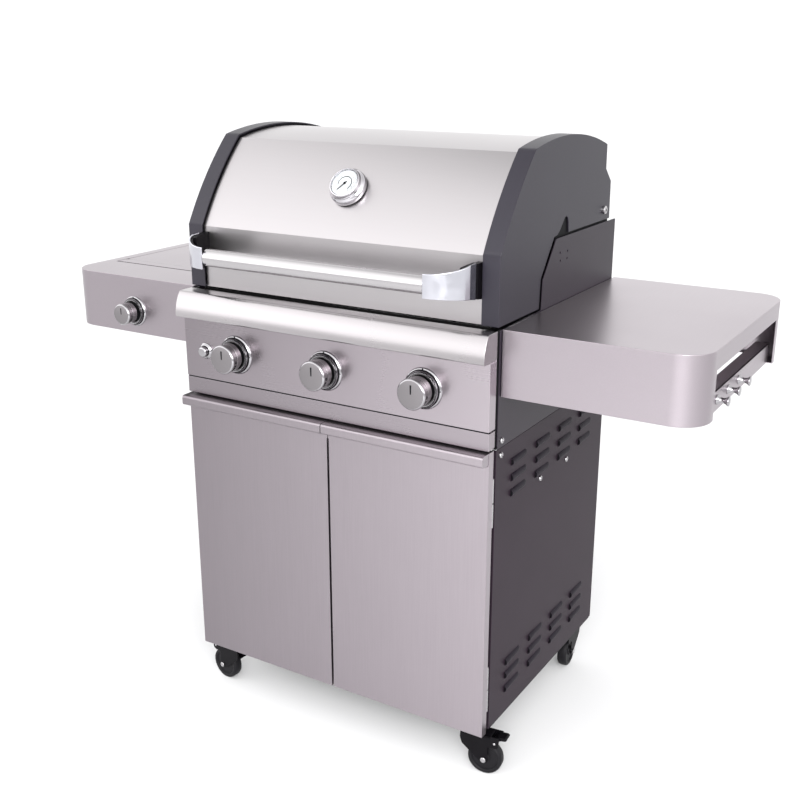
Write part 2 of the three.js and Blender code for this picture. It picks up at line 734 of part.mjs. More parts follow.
// Flush cover with folded edges. It turns up on its rear top edge.
function sideBurnerCover() {
  const [x0, x1] = [WELL.x[0] + 2.5, WELL.x[1] - 2.5];
  const [y0, y1] = [WELL.y[0] + 2.5, WELL.y[1] - 2.5];
  const top = SHELF.top;
  const plate = box([x0, x1], [y0, y1], [top - SHEET, top]);
  const fold = box([x0 + 6, x1 - 6], [y0 + 6, y0 + 8], [top - 5, top - 1]);
  return union(plate, fold);
}

// ---------------------------------------------------------------- casters
// Each caster's origin is its swivel axis at the underside of the bottom shelf; it trails along +X.
const CASTERS = [
  { name: "front_left", x: -301, y: 42, turn: 172, brake: true },
  { name: "front_right", x: 316, y: 38, turn: 7, brake: true },
  { name: "rear_left", x: -310, y: 524, turn: -150, brake: false },
  { name: "rear_right", x: 318, y: 528, turn: -86, brake: false },
];
const CASTER_PLATE = 26; // half the width of a caster's square mounting plate
const AXLE_DROP = WHEEL.radius - CASTER_HEIGHT;
const BRAKE_PIVOT = [WHEEL.trail + 22, -26];

function casterFork() {
  const { trail } = WHEEL;
  const raceway = rod("z", 23, [-13, -3.6], [0, 0], 14);
  const crown = box([-22, trail + 14], [-15.5, 15.5], [-17, -12]);
  const cheek = [
    [-23, -12],
    [trail + 32, -12],
    [trail + 30, -34],
    [trail + 22, -38],
    [trail + 7, -36],
    [trail + 9, AXLE_DROP],
    [trail + 4, AXLE_DROP - 7],
    [trail - 6, AXLE_DROP - 7],
    [-10, -50],
    [-20, -42],
    [-24, -28],
  ];
  const cheeks = [[-15.5, -13], [13, 15.5]].map((ys) => alongY(cheek, ...ys));
  const axle = rod("y", 4, [-18, 18], [trail, AXLE_DROP], 8);
  const pivotHoles = rod("y", 2.8, [-20, 20], BRAKE_PIVOT, 8);
  return union(cut(union(raceway, crown, cheeks), pivotHoles), axle);
}

function casterWheel() {
  const { radius, width } = WHEEL;
  const half = width / 2;
  const tyre = turned([
    [4.6, -half],
    [10, -half],
    [12, -half + 3],
    [27, -half + 3],
    [30, -half],
    [radius, -half + 3],
    [radius, half - 3],
    [30, half],
    [27, half - 3],
    [12, half - 3],
    [10, half],
    [4.6, half],
    [4.6, -half],
  ], 20);
  return solid(geometryOf(tyre).rotateX(Math.PI / 2));
}

function brakeLever() {
  const { trail } = WHEEL;
  const tongue = [
    [trail + 17, -24],
    [trail + 17, -33],
    [trail + 21, -33],
    [trail + 26, -24],
    [trail + 34, -19],
    [trail + 43, -18],
    [trail + 47, -14.5],
    [trail + 43, -11],
    [trail + 28, -12],
    [trail + 19, -18.5],
  ];
  const pin = rod("y", 2.2, [-17, 17], BRAKE_PIVOT, 8);
  return union(alongY(tongue, -11, 11), pin);
}

// ---------------------------------------------------------------- assembly
const grill = new THREE.Group();
const add = (name, body, material, parent = grill) => {
  const mesh = piece(name, body, material);
  parent.add(mesh);
  return mesh;
};

function addPair(name, body, material) {
  add(name + "_right", body, material);
  add(name + "_left", flipX(body), material);
}

add("bottom_shelf", bottomShelf(), BLACK_PAINT);
addPair("side_panel", sidePanel(), DARK_PAINT);
addPair("upper_side", upperSide(), DARK_PAINT);
add("front_frame", frontFrame(), BLACK_PAINT);
add("back_panel", backPanel(), BLACK_PAINT);
addPair("door", door(), BRUSHED_STEEL);
add("control_panel", controlPanel(), BRUSHED_STEEL);
add("panel_trim", panelTrim(), BRUSHED_STEEL);
add("firebox", firebox(), BLACK_PAINT);
add("grease_tray", greaseTray(), GALVANISED);
add("gas_manifold", gasManifold(), BRASS);
add("warming_rack", warmingRack(), CHROME);

const facingFront = new THREE.Euler(Math.PI / 2, 0, 0); // turns a piece's own +Z to -Y
function addFacing(name, body, material, x, y, z) {
  const mesh = place(add(name, body, material), x, y, z);
  mesh.rotation.copy(facingFront);
}

[-BURNER_PITCH, 0, BURNER_PITCH].forEach((x, i) => {
  const n = i + 1;
  place(add(`burner_tube_${n}`, burnerTube(), BRUSHED_STEEL), x, 52, KNOB_Z);
  place(add(`emitter_${n}`, emitter(), GALVANISED), x, 0, 0);
  place(add(`cooking_grate_${n}`, cookingGrate(), CAST), x, 0, 0);
  addFacing(`valve_stem_${n}`, stem(42), GALVANISED, x, 2, KNOB_Z);
  addFacing(`knob_${n}`, knob(29.5, 29), BRUSHED_STEEL, x, KNOB_FACE + 29, KNOB_Z);
});
addFacing("ignition_button", button(), CHROME, IGNITER.x, PANEL.front - 2, IGNITER.z);

add("lid_skin", lidSkin(), BRUSHED_STEEL);
addPair("lid_cap", lidCap(), BLACK_PAINT);
add("handle_tube", handleTube(), BRUSHED_STEEL);
addPair("handle_mount", handleMount(), CHROME);
const dial = place(add("gauge", gauge(), CHROME), 0, GAUGE.y, GAUGE.z);
dial.quaternion.setFromUnitVectors(new THREE.Vector3(0, 0, 1), GAUGE.direction);
dial.position.addScaledVector(GAUGE.direction, GAP);
["right", "left"].forEach((side, i) => {
  const pin = place(add(`lid_hinge_pin_${side}`, hingePin(), CHROME), 0, LID_PIVOT.y, LID_PIVOT.z);
  pin.rotation.y = (i === 0 ? 1 : -1) * (Math.PI / 2);
});

add("right_shelf", rightShelf(), BRUSHED_STEEL);
add("towel_rail", towelRail(), BRUSHED_STEEL);
add("left_shelf", leftShelf(), BRUSHED_STEEL);
const wellMiddle = (WELL.x[0] + WELL.x[1]) / 2;
add("side_burner_bowl", sideBurnerBowl(), BRUSHED_STEEL);
place(add("side_burner_head", sideBurnerHead(), CAST), wellMiddle, 318, 868);
place(add("side_burner_grate", sideBurnerGrate(), CAST), wellMiddle, 318, 902);
add("side_burner_cover", sideBurnerCover(), BRUSHED_STEEL);
addFacing("valve_stem_side", stem(34), GALVANISED, SIDE_KNOB.x, SIDE_KNOB.y + 2, SIDE_KNOB.z);
addFacing("knob_side", knob(23, 26), BRUSHED_STEEL, SIDE_KNOB.x, SIDE_KNOB.y - 16, SIDE_KNOB.z);

for (const { name, x, y, turn, brake } of CASTERS) {
  const caster = place(new THREE.Group(), x, y, CASTER_HEIGHT);
  caster.rotation.z = THREE.MathUtils.degToRad(turn);
  grill.add(caster);
  add(`caster_fork_${name}`, casterFork(), BLACK_PLASTIC, caster);
  place(add(`caster_wheel_${name}`, casterWheel(), TYRE, caster), WHEEL.trail, 0, AXLE_DROP);
  if (brake) add(`brake_lever_${name}`, brakeLever(), BLACK_PLASTIC, caster);
}

// The origin goes to the middle of the footprint, on the floor.
const footprint = new THREE.Box3().setFromObject(grill);
grill.position.set(
  -(footprint.min.x + footprint.max.x) / 2,
  -(footprint.min.y + footprint.max.y) / 2,
  0,
);

export default grill;
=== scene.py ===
import math

import bmesh
import bpy
from mathutils import Matrix, Vector


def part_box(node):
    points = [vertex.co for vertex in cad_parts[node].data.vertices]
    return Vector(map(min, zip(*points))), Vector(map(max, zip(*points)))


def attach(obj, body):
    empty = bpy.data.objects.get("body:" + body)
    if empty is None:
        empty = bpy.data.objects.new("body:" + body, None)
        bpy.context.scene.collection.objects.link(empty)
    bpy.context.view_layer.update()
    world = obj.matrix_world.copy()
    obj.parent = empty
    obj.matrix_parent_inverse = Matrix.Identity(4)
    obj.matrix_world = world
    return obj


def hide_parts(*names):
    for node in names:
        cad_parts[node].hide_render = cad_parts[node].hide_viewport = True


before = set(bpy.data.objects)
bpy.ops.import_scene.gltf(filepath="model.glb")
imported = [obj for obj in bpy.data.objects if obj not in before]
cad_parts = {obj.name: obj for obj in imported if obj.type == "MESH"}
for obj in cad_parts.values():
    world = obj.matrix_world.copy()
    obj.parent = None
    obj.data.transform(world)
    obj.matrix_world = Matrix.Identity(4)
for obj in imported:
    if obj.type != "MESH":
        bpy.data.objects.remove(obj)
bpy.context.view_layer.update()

# ---------------------------------------------------------------- places and sizes
# Millimetres, in design coordinates: x = 0 on the cabinet's middle, y = 0 on the doors' front face,
# z = 0 on the floor. place() turns them into the row frame's metres.
DOOR_LIP_REACH = 25.0
MID_X = (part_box("lid_cap_left")[0].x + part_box("lid_cap_right")[1].x) / 2
DOOR_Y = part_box("door_right")[0].y + DOOR_LIP_REACH / 1000

SHEET = 1.8
CABINET = {"half": 353.0, "front": 28.0, "back": 557.0, "bottom": 109.0, "top": 695.0}
DOOR = {"gap": 2.5, "half": 352.8, "thick": 18.0, "bottom": 104.0, "top": 698.0}
LIP = {"gap": 0.8, "end": 352.0, "height": 28.0, "corner": 8.0}
TRIM = {"half": 352.3, "front": -2.0, "back": 22.0, "bottom": 702.0, "top": 736.0}
PANEL_HALF = 352.3
PANEL_BACK = 22.0
LID = {"half": 352.0, "cap_width": 35.0, "front": 26.0, "bottom": 924.0, "inset": 7.0}
LID_PIVOT = (498.0, 1072.0)
SHELF = {"inner": 355.5, "outer": 716.5, "front": 34.0, "back": 572.0, "bottom": 796.0, "top": 920.0}
SHELF_CORNER = 57.0
WELL = {"x": (-690.0, -382.0), "y": (147.0, 498.0)}
BURNER_XS = (-218.0, 0.0, 218.0)
KNOB_Z = 800.0
PANEL_FACE = -3.0
SIDE_KNOB = (-528.0, 34.0, 845.0)
SIDE_KNOB_SCALE = 0.825
IGNITER = (-298.0, 797.0)
HOOK_YS = (152.0, 221.0, 290.0)
HOOK_Z = 818.0
RAIL_FACE = 706.5
HANDLE = {"y": -43.0, "z": 1001.5, "radius": 17.0, "spigot": 9.0, "end": 246.0, "outer": 313.0}
GAUGE = {"y": 88.6, "z": 1135.6, "normal": Vector((0.0, -0.797, 0.604)).normalized()}
WHEEL = {"radius": 36.0, "half": 11.0, "trail": 27.0}
CASTER_TOP = 104.0
CASTERS = {
    "front_left": (-301.0, 42.0, 172.0, True),
    "front_right": (316.0, 38.0, 7.0, True),
    "rear_left": (-310.0, 524.0, -150.0, False),
    "rear_right": (318.0, 528.0, -86.0, False),
}


def place(p):
    """A point in design millimetres as a point in the row frame, in metres."""
    return Vector((MID_X + p[0] / 1000, DOOR_Y + p[1] / 1000, p[2] / 1000))


# ---------------------------------------------------------------- materials
def new_material(name, color, roughness, metallic=0.0, specular=0.5):
    mat = bpy.data.materials.new(name)
    mat.use_nodes = True
    shader = mat.node_tree.nodes["Principled BSDF"]
    shader.inputs["Base Color"].default_value = (*color, 1.0)
    shader.inputs["Roughness"].default_value = roughness
    shader.inputs["Metallic"].default_value = metallic
    shader.inputs["Specular IOR Level"].default_value = specular
    return mat, mat.node_tree, shader


def noise(tree, scale, detail=3.0, stretch=(1.0, 1.0, 1.0)):
    """A noise texture in the row frame's metres, stretched along the axes with a small factor."""
    nodes, links = tree.nodes, tree.links
    coords = nodes.new("ShaderNodeTexCoord")
    mapping = nodes.new("ShaderNodeMapping")
    mapping.inputs["Scale"].default_value = stretch
    texture = nodes.new("ShaderNodeTexNoise")
    texture.inputs["Scale"].default_value = scale
    texture.inputs["Detail"].default_value = detail
    links.new(coords.outputs["Object"], mapping.inputs["Vector"])
    links.new(mapping.outputs["Vector"], texture.inputs["Vector"])
    return texture.outputs["Fac"]


def spread(tree, value, low, high):
    """Maps a noise value, which keeps mostly to 0.3 - 0.7, to low - high."""
    node = tree.nodes.new("ShaderNodeMapRange")
    node.inputs["From Min"].default_value = 0.3
    node.inputs["From Max"].default_value = 0.7
    node.inputs["To Min"].default_value = low
    node.inputs["To Max"].default_value = high
    tree.links.new(value, node.inputs["Value"])
    return node.outputs["Result"]


def tint(tree, shader, value, dark, light):
    """Varies the base colour between two colours."""
    node = tree.nodes.new("ShaderNodeMix")
    node.data_type = "RGBA"
    node.inputs["A"].default_value = (*dark, 1.0)
    node.inputs["B"].default_value = (*light, 1.0)
    tree.links.new(spread(tree, value, 0.0, 1.0), node.inputs["Factor"])
    tree.links.new(node.outputs["Result"], shader.inputs["Base Color"])


def bumped(tree, shader, value, distance, strength=1.0):
    node = tree.nodes.new("ShaderNodeBump")
    node.inputs["Strength"].default_value = strength
    node.inputs["Distance"].default_value = distance
    tree.links.new(value, node.inputs["Height"])
    tree.links.new(node.outputs["Normal"], shader.inputs["Normal"])


def scaled(color, factor):
    return tuple(c * factor for c in color)


GRAIN_ALONG = {"x": (0.003, 1.0, 1.0), "y": (1.0, 0.012, 1.0), "z": (1.0, 1.0, 0.012)}


def painted_shade_across(tree, shader, left, right):
    """Paints shade into the sheet's colour along X: scales it from one factor at one end to another at the
    other end, darker where the light on the sheet is softer.
    """
    nodes, links = tree.nodes, tree.links
    coords, split_axes = nodes.new("ShaderNodeTexCoord"), nodes.new("ShaderNodeSeparateXYZ")
    fade, mix = nodes.new("ShaderNodeMapRange"), nodes.new("ShaderNodeVectorMath")
    fade.inputs["From Min"].default_value, fade.inputs["From Max"].default_value = -0.35, 0.35
    fade.inputs["To Min"].default_value, fade.inputs["To Max"].default_value = left, right
    mix.operation = "SCALE"
    links.new(coords.outputs["Object"], split_axes.inputs["Vector"])
    links.new(split_axes.outputs["X"], fade.inputs["Value"])
    links.new(shader.inputs["Base Color"].links[0].from_socket, mix.inputs["Vector"])
    links.new(fade.outputs["Result"], mix.inputs["Scale"])
    links.new(mix.outputs["Vector"], shader.inputs["Base Color"])


def brushed_steel(name, color, roughness, grain, streak=0.03, ends=None, relief=0.12):
    """Stainless sheet: fine lines along one axis in colour, gloss and relief, over soft smears. ends, when
    given, paints shade into its colour from one end to the other.
    """
    mat, tree, shader = new_material(name, color, roughness, 1.0)
    lines = noise(tree, 900.0, 2.0, GRAIN_ALONG[grain])
    tint(tree, shader, lines, scaled(color, 1 - streak), scaled(color, 1 + streak))
    if ends:
        painted_shade_across(tree, shader, *ends)
    smears = noise(tree, 3.0, 2.0)
    add = tree.nodes.new("ShaderNodeMath")
    tree.links.new(spread(tree, lines, roughness - streak, roughness + streak), add.inputs[0])
    tree.links.new(spread(tree, smears, -0.02, 0.03), add.inputs[1])
    tree.links.new(add.outputs["Value"], shader.inputs["Roughness"])
    bumped(tree, shader, lines, 0.000002, relief)
    return mat


def powder_coat(name, color, roughness, specular=0.5, grit=0.00003):
    """Baked paint with a very fine orange peel."""
    mat, tree, shader = new_material(name, color, roughness, 0.0, specular)
    peel = noise(tree, 700.0, 3.0)
    tint(tree, shader, noise(tree, 12.0), scaled(color, 0.95), scaled(color, 1.05))
    tree.links.new(spread(tree, peel, roughness - 0.03, roughness + 0.04), shader.inputs["Roughness"])
    bumped(tree, shader, peel, grit, 0.4)
    return mat


def polished(name, color, roughness):
    """Chrome with faint wipe marks in its gloss."""
    mat, tree, shader = new_material(name, color, roughness, 1.0)
    wipes = noise(tree, 60.0, 4.0)
    tint(tree, shader, wipes, scaled(color, 0.97), color)
    tree.links.new(spread(tree, wipes, roughness * 0.6, roughness * 1.5), shader.inputs["Roughness"])
    return mat


def moulded(name, color, roughness, specular=0.5, relief=0.00003):
    """Moulded plastic or rubber with a fine matt texture."""
    mat, tree, shader = new_material(name, color, roughness, 0.0, specular)
    grain = noise(tree, 1500.0, 2.0)
    tint(tree, shader, noise(tree, 30.0), scaled(color, 0.85), scaled(color, 1.15))
    tree.links.new(spread(tree, grain, roughness - 0.05, roughness + 0.06), shader.inputs["Roughness"])
    bumped(tree, shader, grain, relief, 0.6)
    return mat


def cast(name, color, roughness, metallic):
    """Cast or mill-finish metal: mottled, with a coarse sandy relief."""
    mat, tree, shader = new_material(name, color, roughness, metallic)
    sand = noise(tree, 350.0, 5.0)
    tint(tree, shader, noise(tree, 25.0, 5.0), scaled(color, 0.75), scaled(color, 1.2))
    tree.links.new(spread(tree, sand, roughness - 0.08, roughness + 0.1), shader.inputs["Roughness"])
    bumped(tree, shader, sand, 0.0001, 0.5)
    return mat


STEEL = (0.445, 0.40, 0.432)
# One stainless steel, scaled for each part. The last pair of factors, where given, is painted shade along X:
# darker towards the left end, and on the nose darker towards the right end.
steel_upright = brushed_steel("steel_grain_upright", scaled(STEEL, 0.81), 0.34, "z", 0.03, (0.65, 0.99))
steel_level = brushed_steel("steel_grain_level", scaled(STEEL, 0.88), 0.27, "x", 0.003, (0.62, 1.0), 0.0)
steel_nose = brushed_steel("steel_nose", (0.405, 0.385, 0.395), 0.27, "x", 0.003, (1.0, 0.88), 0.0)
steel_trim = brushed_steel("steel_trim", scaled(STEEL, 0.74), 0.27, "x", 0.003, (0.70, 1.0), 0.0)
steel_lid = brushed_steel("steel_lid_sheet", (0.40, 0.382, 0.391), 0.32, "x", 0.008, None, 0.01)
steel_tube = brushed_steel("steel_tube", (0.46, 0.445, 0.455), 0.2, "x", 0.008, None, 0.01)
steel_deep = brushed_steel("steel_grain_front_to_back", scaled(STEEL, 0.82), 0.32, "y", 0.025, (0.86, 0.985))
steel_knob = brushed_steel("steel_knob", (0.225, 0.212, 0.22), 0.34, "x", 0.006, None, 0.0)
charcoal = powder_coat("charcoal_coat", (0.0178, 0.0112, 0.0172), 0.46, 0.13)
# The louvre hoods are pressed from the side panel's sheet; this darker copy of its charcoal is painted shade
# on the hoods.
louvre_shaded_paint = powder_coat("louvre_shaded_coat", (0.0125, 0.0098, 0.0145), 0.5, 0.08)
upper_paint = powder_coat("upper_side_coat", (0.016, 0.0115, 0.018), 0.44, 0.27)
cap_paint = powder_coat("cap_enamel", (0.014, 0.012, 0.019), 0.42, 0.36)
black_coat = powder_coat("black_coat", (0.008, 0.008, 0.009), 0.5, 0.2)
enamel = powder_coat("burner_enamel", (0.004, 0.0037, 0.004), 0.4, 0.12)
chrome = polished("chrome", (0.52, 0.505, 0.53), 0.07)
band_chrome = polished("band_chrome", (0.58, 0.58, 0.63), 0.16)
bezel_chrome = polished("bezel_chrome", (0.36, 0.35, 0.365), 0.07)
bolt_zinc = polished("bolt_zinc", (0.42, 0.41, 0.42), 0.25)
nylon = moulded("black_nylon", (0.0025, 0.002, 0.003), 0.45, 0.1)
tread = moulded("tread_rubber", (0.006, 0.0055, 0.007), 0.5, 0.16, 0.00006)
grate_iron = cast("grate_iron", (0.03, 0.028, 0.027), 0.5, 0.3)
plain_steel = cast("mill_steel", (0.36, 0.35, 0.35), 0.38, 1.0)
brass = cast("brass", (0.55, 0.40, 0.16), 0.32, 1.0)
ink = moulded("black_ink", (0.004, 0.004, 0.005), 0.6, 0.1, 0.0)
dial_white = moulded("dial_white", (0.55, 0.56, 0.57), 0.4, 0.3, 0.0)
dial_grey = moulded("dial_print", (0.02, 0.021, 0.022), 0.5, 0.1, 0.0)


def glass_material():
    mat, tree, shader = new_material("gauge_lens", (0.98, 0.99, 1.0), 0.02)
    shader.inputs["Transmission Weight"].default_value = 1.0
    shader.inputs["IOR"].default_value = 1.2
    tree.links.new(spread(tree, noise(tree, 80.0), 0.01, 0.04), shader.inputs["Roughness"])
    return mat


lens = glass_material()

# ---------------------------------------------------------------- outlines
def filleted(points, radii, steps=5):
    """A closed outline with rounded corners. radii has one radius a point, 0 for a sharp corner."""
    out = []
    for i, (point, radius) in enumerate(zip(points, radii)):
        here = Vector(point)
        before = Vector(points[i - 1]) - here
        after = Vector(points[(i + 1) % len(points)]) - here
        if radius <= 0:
            out.append(tuple(here))
            continue
        turn = before.angle(after)
        reach = min(radius / math.tan(turn / 2), before.length * 0.49, after.length * 0.49)
        start = here + before.normalized() * reach
        end = here + after.normalized() * reach
        for k in range(steps + 1):
            t = k / steps
            out.append(tuple(start.lerp(here, t).lerp(here.lerp(end, t), t)))
    return out


def arc(a, b, sagitta, steps):
    """Points of an arc from a to b that bulges to the left of a -> b by sagitta."""
    a, b = Vector(a), Vector(b)
    chord = (b - a).length
    radius = chord**2 / (8 * sagitta) + sagitta / 2
    half = math.asin(chord / 2 / radius)
    along = (b - a) / chord
    left = Vector((-along.y, along.x))
    points = []
    for i in range(steps + 1):
        angle = half * (2 * i / steps - 1)
        s = chord / 2 + radius * math.sin(angle)
        h = radius * math.cos(angle) - (radius - sagitta)
        points.append(tuple(a + along * s + left * h))
    return points


def offset(path, distance):
    """An open path moved to the right of its direction, with mitred corners."""
    normals = []
    for (x0, y0), (x1, y1) in zip(path, path[1:]):
        length = math.hypot(x1 - x0, y1 - y0)
        normals.append(((y1 - y0) / length, -(x1 - x0) / length))
    out = []
    for i, (x, y) in enumerate(path):
        before = normals[max(0, i - 1)]
        after = normals[min(len(normals) - 1, i)]
        scale = distance / (1 + before[0] * after[0] + before[1] * after[1])
        out.append((x + (before[0] + after[0]) * scale, y + (before[1] + after[1]) * scale))
    return out


def bent(path, near, far):
    """The outline of a bent sheet between two offsets of a path."""
    return offset(path, near) + offset(path, far)[::-1]


def rounded_plan(x0, x1, y0, y1, radius, steps=12):
    """A rectangle whose two corners on the +X side are round arcs."""
    points = [(x0, y0)]
    for cx, cy, start in ((x1 - radius, y0 + radius, -90), (x1 - radius, y1 - radius, 0)):
        for k in range(steps + 1):
            a = math.radians(start + 90 * k / steps)
            points.append((cx + radius * math.cos(a), cy + radius * math.sin(a)))
    return points + [(x0, y1)]


# ---------------------------------------------------------------- solids
# A solid is (points, faces), in design millimetres.
def prism(outline, axis, a, b):
    """An outline pulled along an axis: YZ along x, XZ along y, XY along z."""
    seat = {
        "x": lambda u, v, t: (t, u, v),
        "y": lambda u, v, t: (u, t, v),
        "z": lambda u, v, t: (u, v, t),
    }[axis]
    n = len(outline)
    points = [seat(u, v, a) for u, v in outline] + [seat(u, v, b) for u, v in outline]
    faces = [tuple(range(n)), tuple(range(2 * n - 1, n - 1, -1))]
    faces += [(i, (i + 1) % n, (i + 1) % n + n, i + n) for i in range(n)]
    return points, faces


def block(xs, ys, zs):
    return prism([(xs[0], ys[0]), (xs[1], ys[0]), (xs[1], ys[1]), (xs[0], ys[1])], "z", *zs)


def turned(profile, steps=48):
    """A solid of revolution about +Z from [radius, height] points, from axis to axis or closed."""
    points, faces, rings = [], [], []
    for radius, height in profile:
        if radius < 1e-6:
            rings.append([len(points)] * steps)
            points.append((0.0, 0.0, height))
            continue
        rings.append([len(points) + i for i in range(steps)])
        for i in range(steps):
            a = 2 * math.pi * i / steps
            points.append((radius * math.cos(a), radius * math.sin(a), height))
    for low, high in zip(rings, rings[1:]):
        for i in range(steps):
            j = (i + 1) % steps
            corners = [low[i], low[j], high[j], high[i]]
            face = tuple(dict.fromkeys(corners))
            if len(face) > 2:
                faces.append(face)
    return points, faces


def rod(axis, radius, ends, centre, steps=32, edge=0.8):
    """A round bar with broken edges along an axis, through the point (a, b) of the other two."""
    low, high = ends
    edge = min(edge, radius * 0.4, (high - low) * 0.3)
    profile = [(0, low), (radius - edge, low), (radius, low + edge)]
    profile += [(radius, high - edge), (radius - edge, high), (0, high)]
    points, faces = turned(profile, steps)
    seat = {
        "x": lambda p: (p[2], centre[0] + p[0], centre[1] + p[1]),
        "y": lambda p: (centre[0] + p[0], p[2], centre[1] + p[1]),
        "z": lambda p: (centre[0] + p[0], centre[1] + p[1], p[2]),
    }[axis]
    return [seat(p) for p in points], faces


def moved(solid, matrix):
    return [tuple(matrix @ Vector(p)) for p in solid[0]], solid[1]


def mirrored(solid):
    return [(-x, y, z) for x, y, z in solid[0]], solid[1]


def joined(*solids):
    points, faces = [], []
    for more_points, more_faces in solids:
        base = len(points)
        points += more_points
        faces += [tuple(i + base for i in face) for face in more_faces]
    return points, faces


def facing_front(x, y, z):
    """Takes a turned piece's +Z to the front, at a place."""
    return Matrix.Translation((x, y, z)) @ Matrix.Rotation(math.pi / 2, 4, "X")


def facing_side(x, y, z, side=1):
    """Takes a turned piece's +Z to +X, or to -X with side -1."""
    return Matrix.Translation((x, y, z)) @ Matrix.Rotation(side * math.pi / 2, 4, "Y")


# ---------------------------------------------------------------- pieces
collection = bpy.context.scene.collection


def mesh_object(name, solid):
    points, faces = solid
    data = bpy.data.meshes.new(name)
    data.from_pydata([place(p) for p in points], [], faces)
    bm = bmesh.new()
    bm.from_mesh(data)
    bmesh.ops.remove_doubles(bm, verts=bm.verts, dist=1e-6)
    bmesh.ops.recalc_face_normals(bm, faces=bm.faces)
    bm.to_mesh(data)
    bm.free()
    obj = bpy.data.objects.new(name, data)
    collection.objects.link(obj)
    return obj


def carved(obj, cutters, operation="DIFFERENCE"):
    """Cuts solids out of an object's mesh, one after another."""
    for i, cutter in enumerate(cutters):
        tool = mesh_object(f"{obj.name}_cutter_{i}", cutter)
        modifier = obj.modifiers.new("cut", "BOOLEAN")
        modifier.operation = operation
        modifier.solver = "EXACT"
        modifier.object = tool
        depsgraph = bpy.context.evaluated_depsgraph_get()
        result = bpy.data.meshes.new_from_object(obj.evaluated_get(depsgraph))
        obj.modifiers.clear()
        obj.data = result
        bpy.data.objects.remove(tool)


def softened(obj, width, segments=3, angle=30):
    bevel = obj.modifiers.new("broken edges", "BEVEL")
    bevel.width = width / 1000
    bevel.segments = segments
    bevel.limit_method = "ANGLE"
    bevel.angle_limit = math.radians(angle)
    bevel.use_clamp_overlap = True
    weighted = obj.modifiers.new("flat faces", "WEIGHTED_NORMAL")
    weighted.keep_sharp = True


def piece(
    name,
    solid,
    look,
    slot,
    body,
    edge=0.0,
    adds=(),
    cuts=(),
    stands_for=(),
    sharp=40,
    bevel_angle=30,
):
    """One visible piece: its mesh, its finish, and the CAD body that it moves with."""
    obj = mesh_object(name, solid)
    if adds:
        carved(obj, adds, "UNION")
    if cuts:
        carved(obj, cuts)
    obj.data.shade_smooth()
    if edge:
        softened(obj, edge, angle=bevel_angle)
    else:
        obj.data.set_sharp_from_angle(angle=math.radians(sharp))
    obj.data.materials.clear()
    obj.data.materials.append(look)
    if stands_for:
        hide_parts(*stands_for)
    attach(obj, body)
    return obj


def finish_node(name, look):
    """Gives a CAD node that stays in view its material."""
    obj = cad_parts[name]
    obj.data.materials.clear()
    obj.data.materials.append(look)


def both_sides(name, solid, look, slot, body, adds=(), cuts=(), node=None, **options):
    """A piece on the right and its mirror image on the left. body and node may hold {side}."""
    for side, flip in (("right", lambda s: s), ("left", mirrored)):
        stands_for = (node.format(side=side),) if node else ()
        piece(
            f"{name}_{side}",
            flip(solid),
            look,
            slot,
            body.format(side=side),
            adds=[flip(a) for a in adds],
            cuts=[flip(c) for c in cuts],
            stands_for=stands_for,
            **options,
        )


# A pan-head screw with a cross recess, its head's underside at z = 0.
def screw_head(radius, height):
    return turned(
        [
            (0, -1.0),
            (radius - 0.4, -1.0),
            (radius, 0.4),
            (radius * 0.93, height * 0.6),
            (radius * 0.7, height * 0.9),
            (radius * 0.4, height),
            (0, height),
        ],
        24,
    )


def screw_cross(radius, height):
    arm, wide = radius * 0.55, radius * 0.14
    deep = (height - 1.0, height + 2)
    return [block((-arm, arm), (-wide, wide), deep), block((-wide, wide), (-arm, arm), deep)]


def screw(name, matrix, radius=6.0, height=3.4, body="cart"):
    piece(
        name,
        moved(screw_head(radius, height), matrix),
        bolt_zinc,
        "chrome",
        body,
        cuts=[moved(c, matrix) for c in screw_cross(radius, height)],
        sharp=50,
    )


# ---------------------------------------------------------------- camera, floor and light
CAMERA_PLACE = (1167.9, -1644.1, 1392.1)
CAMERA_AZIMUTH, CAMERA_DROP = 31.36, 17.96
camera_data = bpy.data.cameras.new("camera")
camera_data.lens = 49.15
camera_data.sensor_width = 36.0
camera = bpy.data.objects.new("camera", camera_data)
collection.objects.link(camera)
azimuth, drop = math.radians(CAMERA_AZIMUTH), math.radians(CAMERA_DROP)
aim = Vector((-math.sin(azimuth) * math.cos(drop), math.cos(azimuth) * math.cos(drop), -math.sin(drop)))
camera.location = place(CAMERA_PLACE)
camera.rotation_euler = aim.to_track_quat("-Z", "Y").to_euler()
camera_data.clip_end = 100.0
bpy.context.scene.camera = camera
bpy.context.scene.view_settings.view_transform = "Standard"

FLOOR_HALF = 40000.0
floor = mesh_object("floor", block((-FLOOR_HALF, FLOOR_HALF), (-FLOOR_HALF, FLOOR_HALF), (-20, 0)))
floor_paint, floor_tree, floor_shader = new_material("pale_floor", (0.70, 0.70, 0.705), 0.9, 0.0, 0.1)
tint(floor_tree, floor_shader, noise(floor_tree, 1.5), (0.695, 0.695, 0.70), (0.705, 0.705, 0.71))
floor.data.materials.append(floor_paint)

# The studio's light by the sine of its height: brightest in front just above the horizon,
# softer overhead and behind.
SKY_PEAK = 3.0
SKY_FRONT = (
    (0.0, 1.3),
    (0.02, 1.5),
    (0.05, 2.9),
    (0.38, 2.9),
    (0.6, 2.35),
    (0.83, 1.9),
    (0.93, 0.7),
    (1.0, 0.5),
)
SKY_BACK = ((0.0, 1.3), (0.06, 1.35), (0.16, 1.5), (0.6, 1.5), (0.86, 1.1), (0.94, 0.65), (1.0, 0.5))
world = bpy.data.worlds.new("studio")
bpy.context.scene.world = world
world.use_nodes = True
sky = world.node_tree
direction = sky.nodes.new("ShaderNodeTexCoord")
split = sky.nodes.new("ShaderNodeSeparateXYZ")
sky.links.new(direction.outputs["Generated"], split.inputs["Vector"])


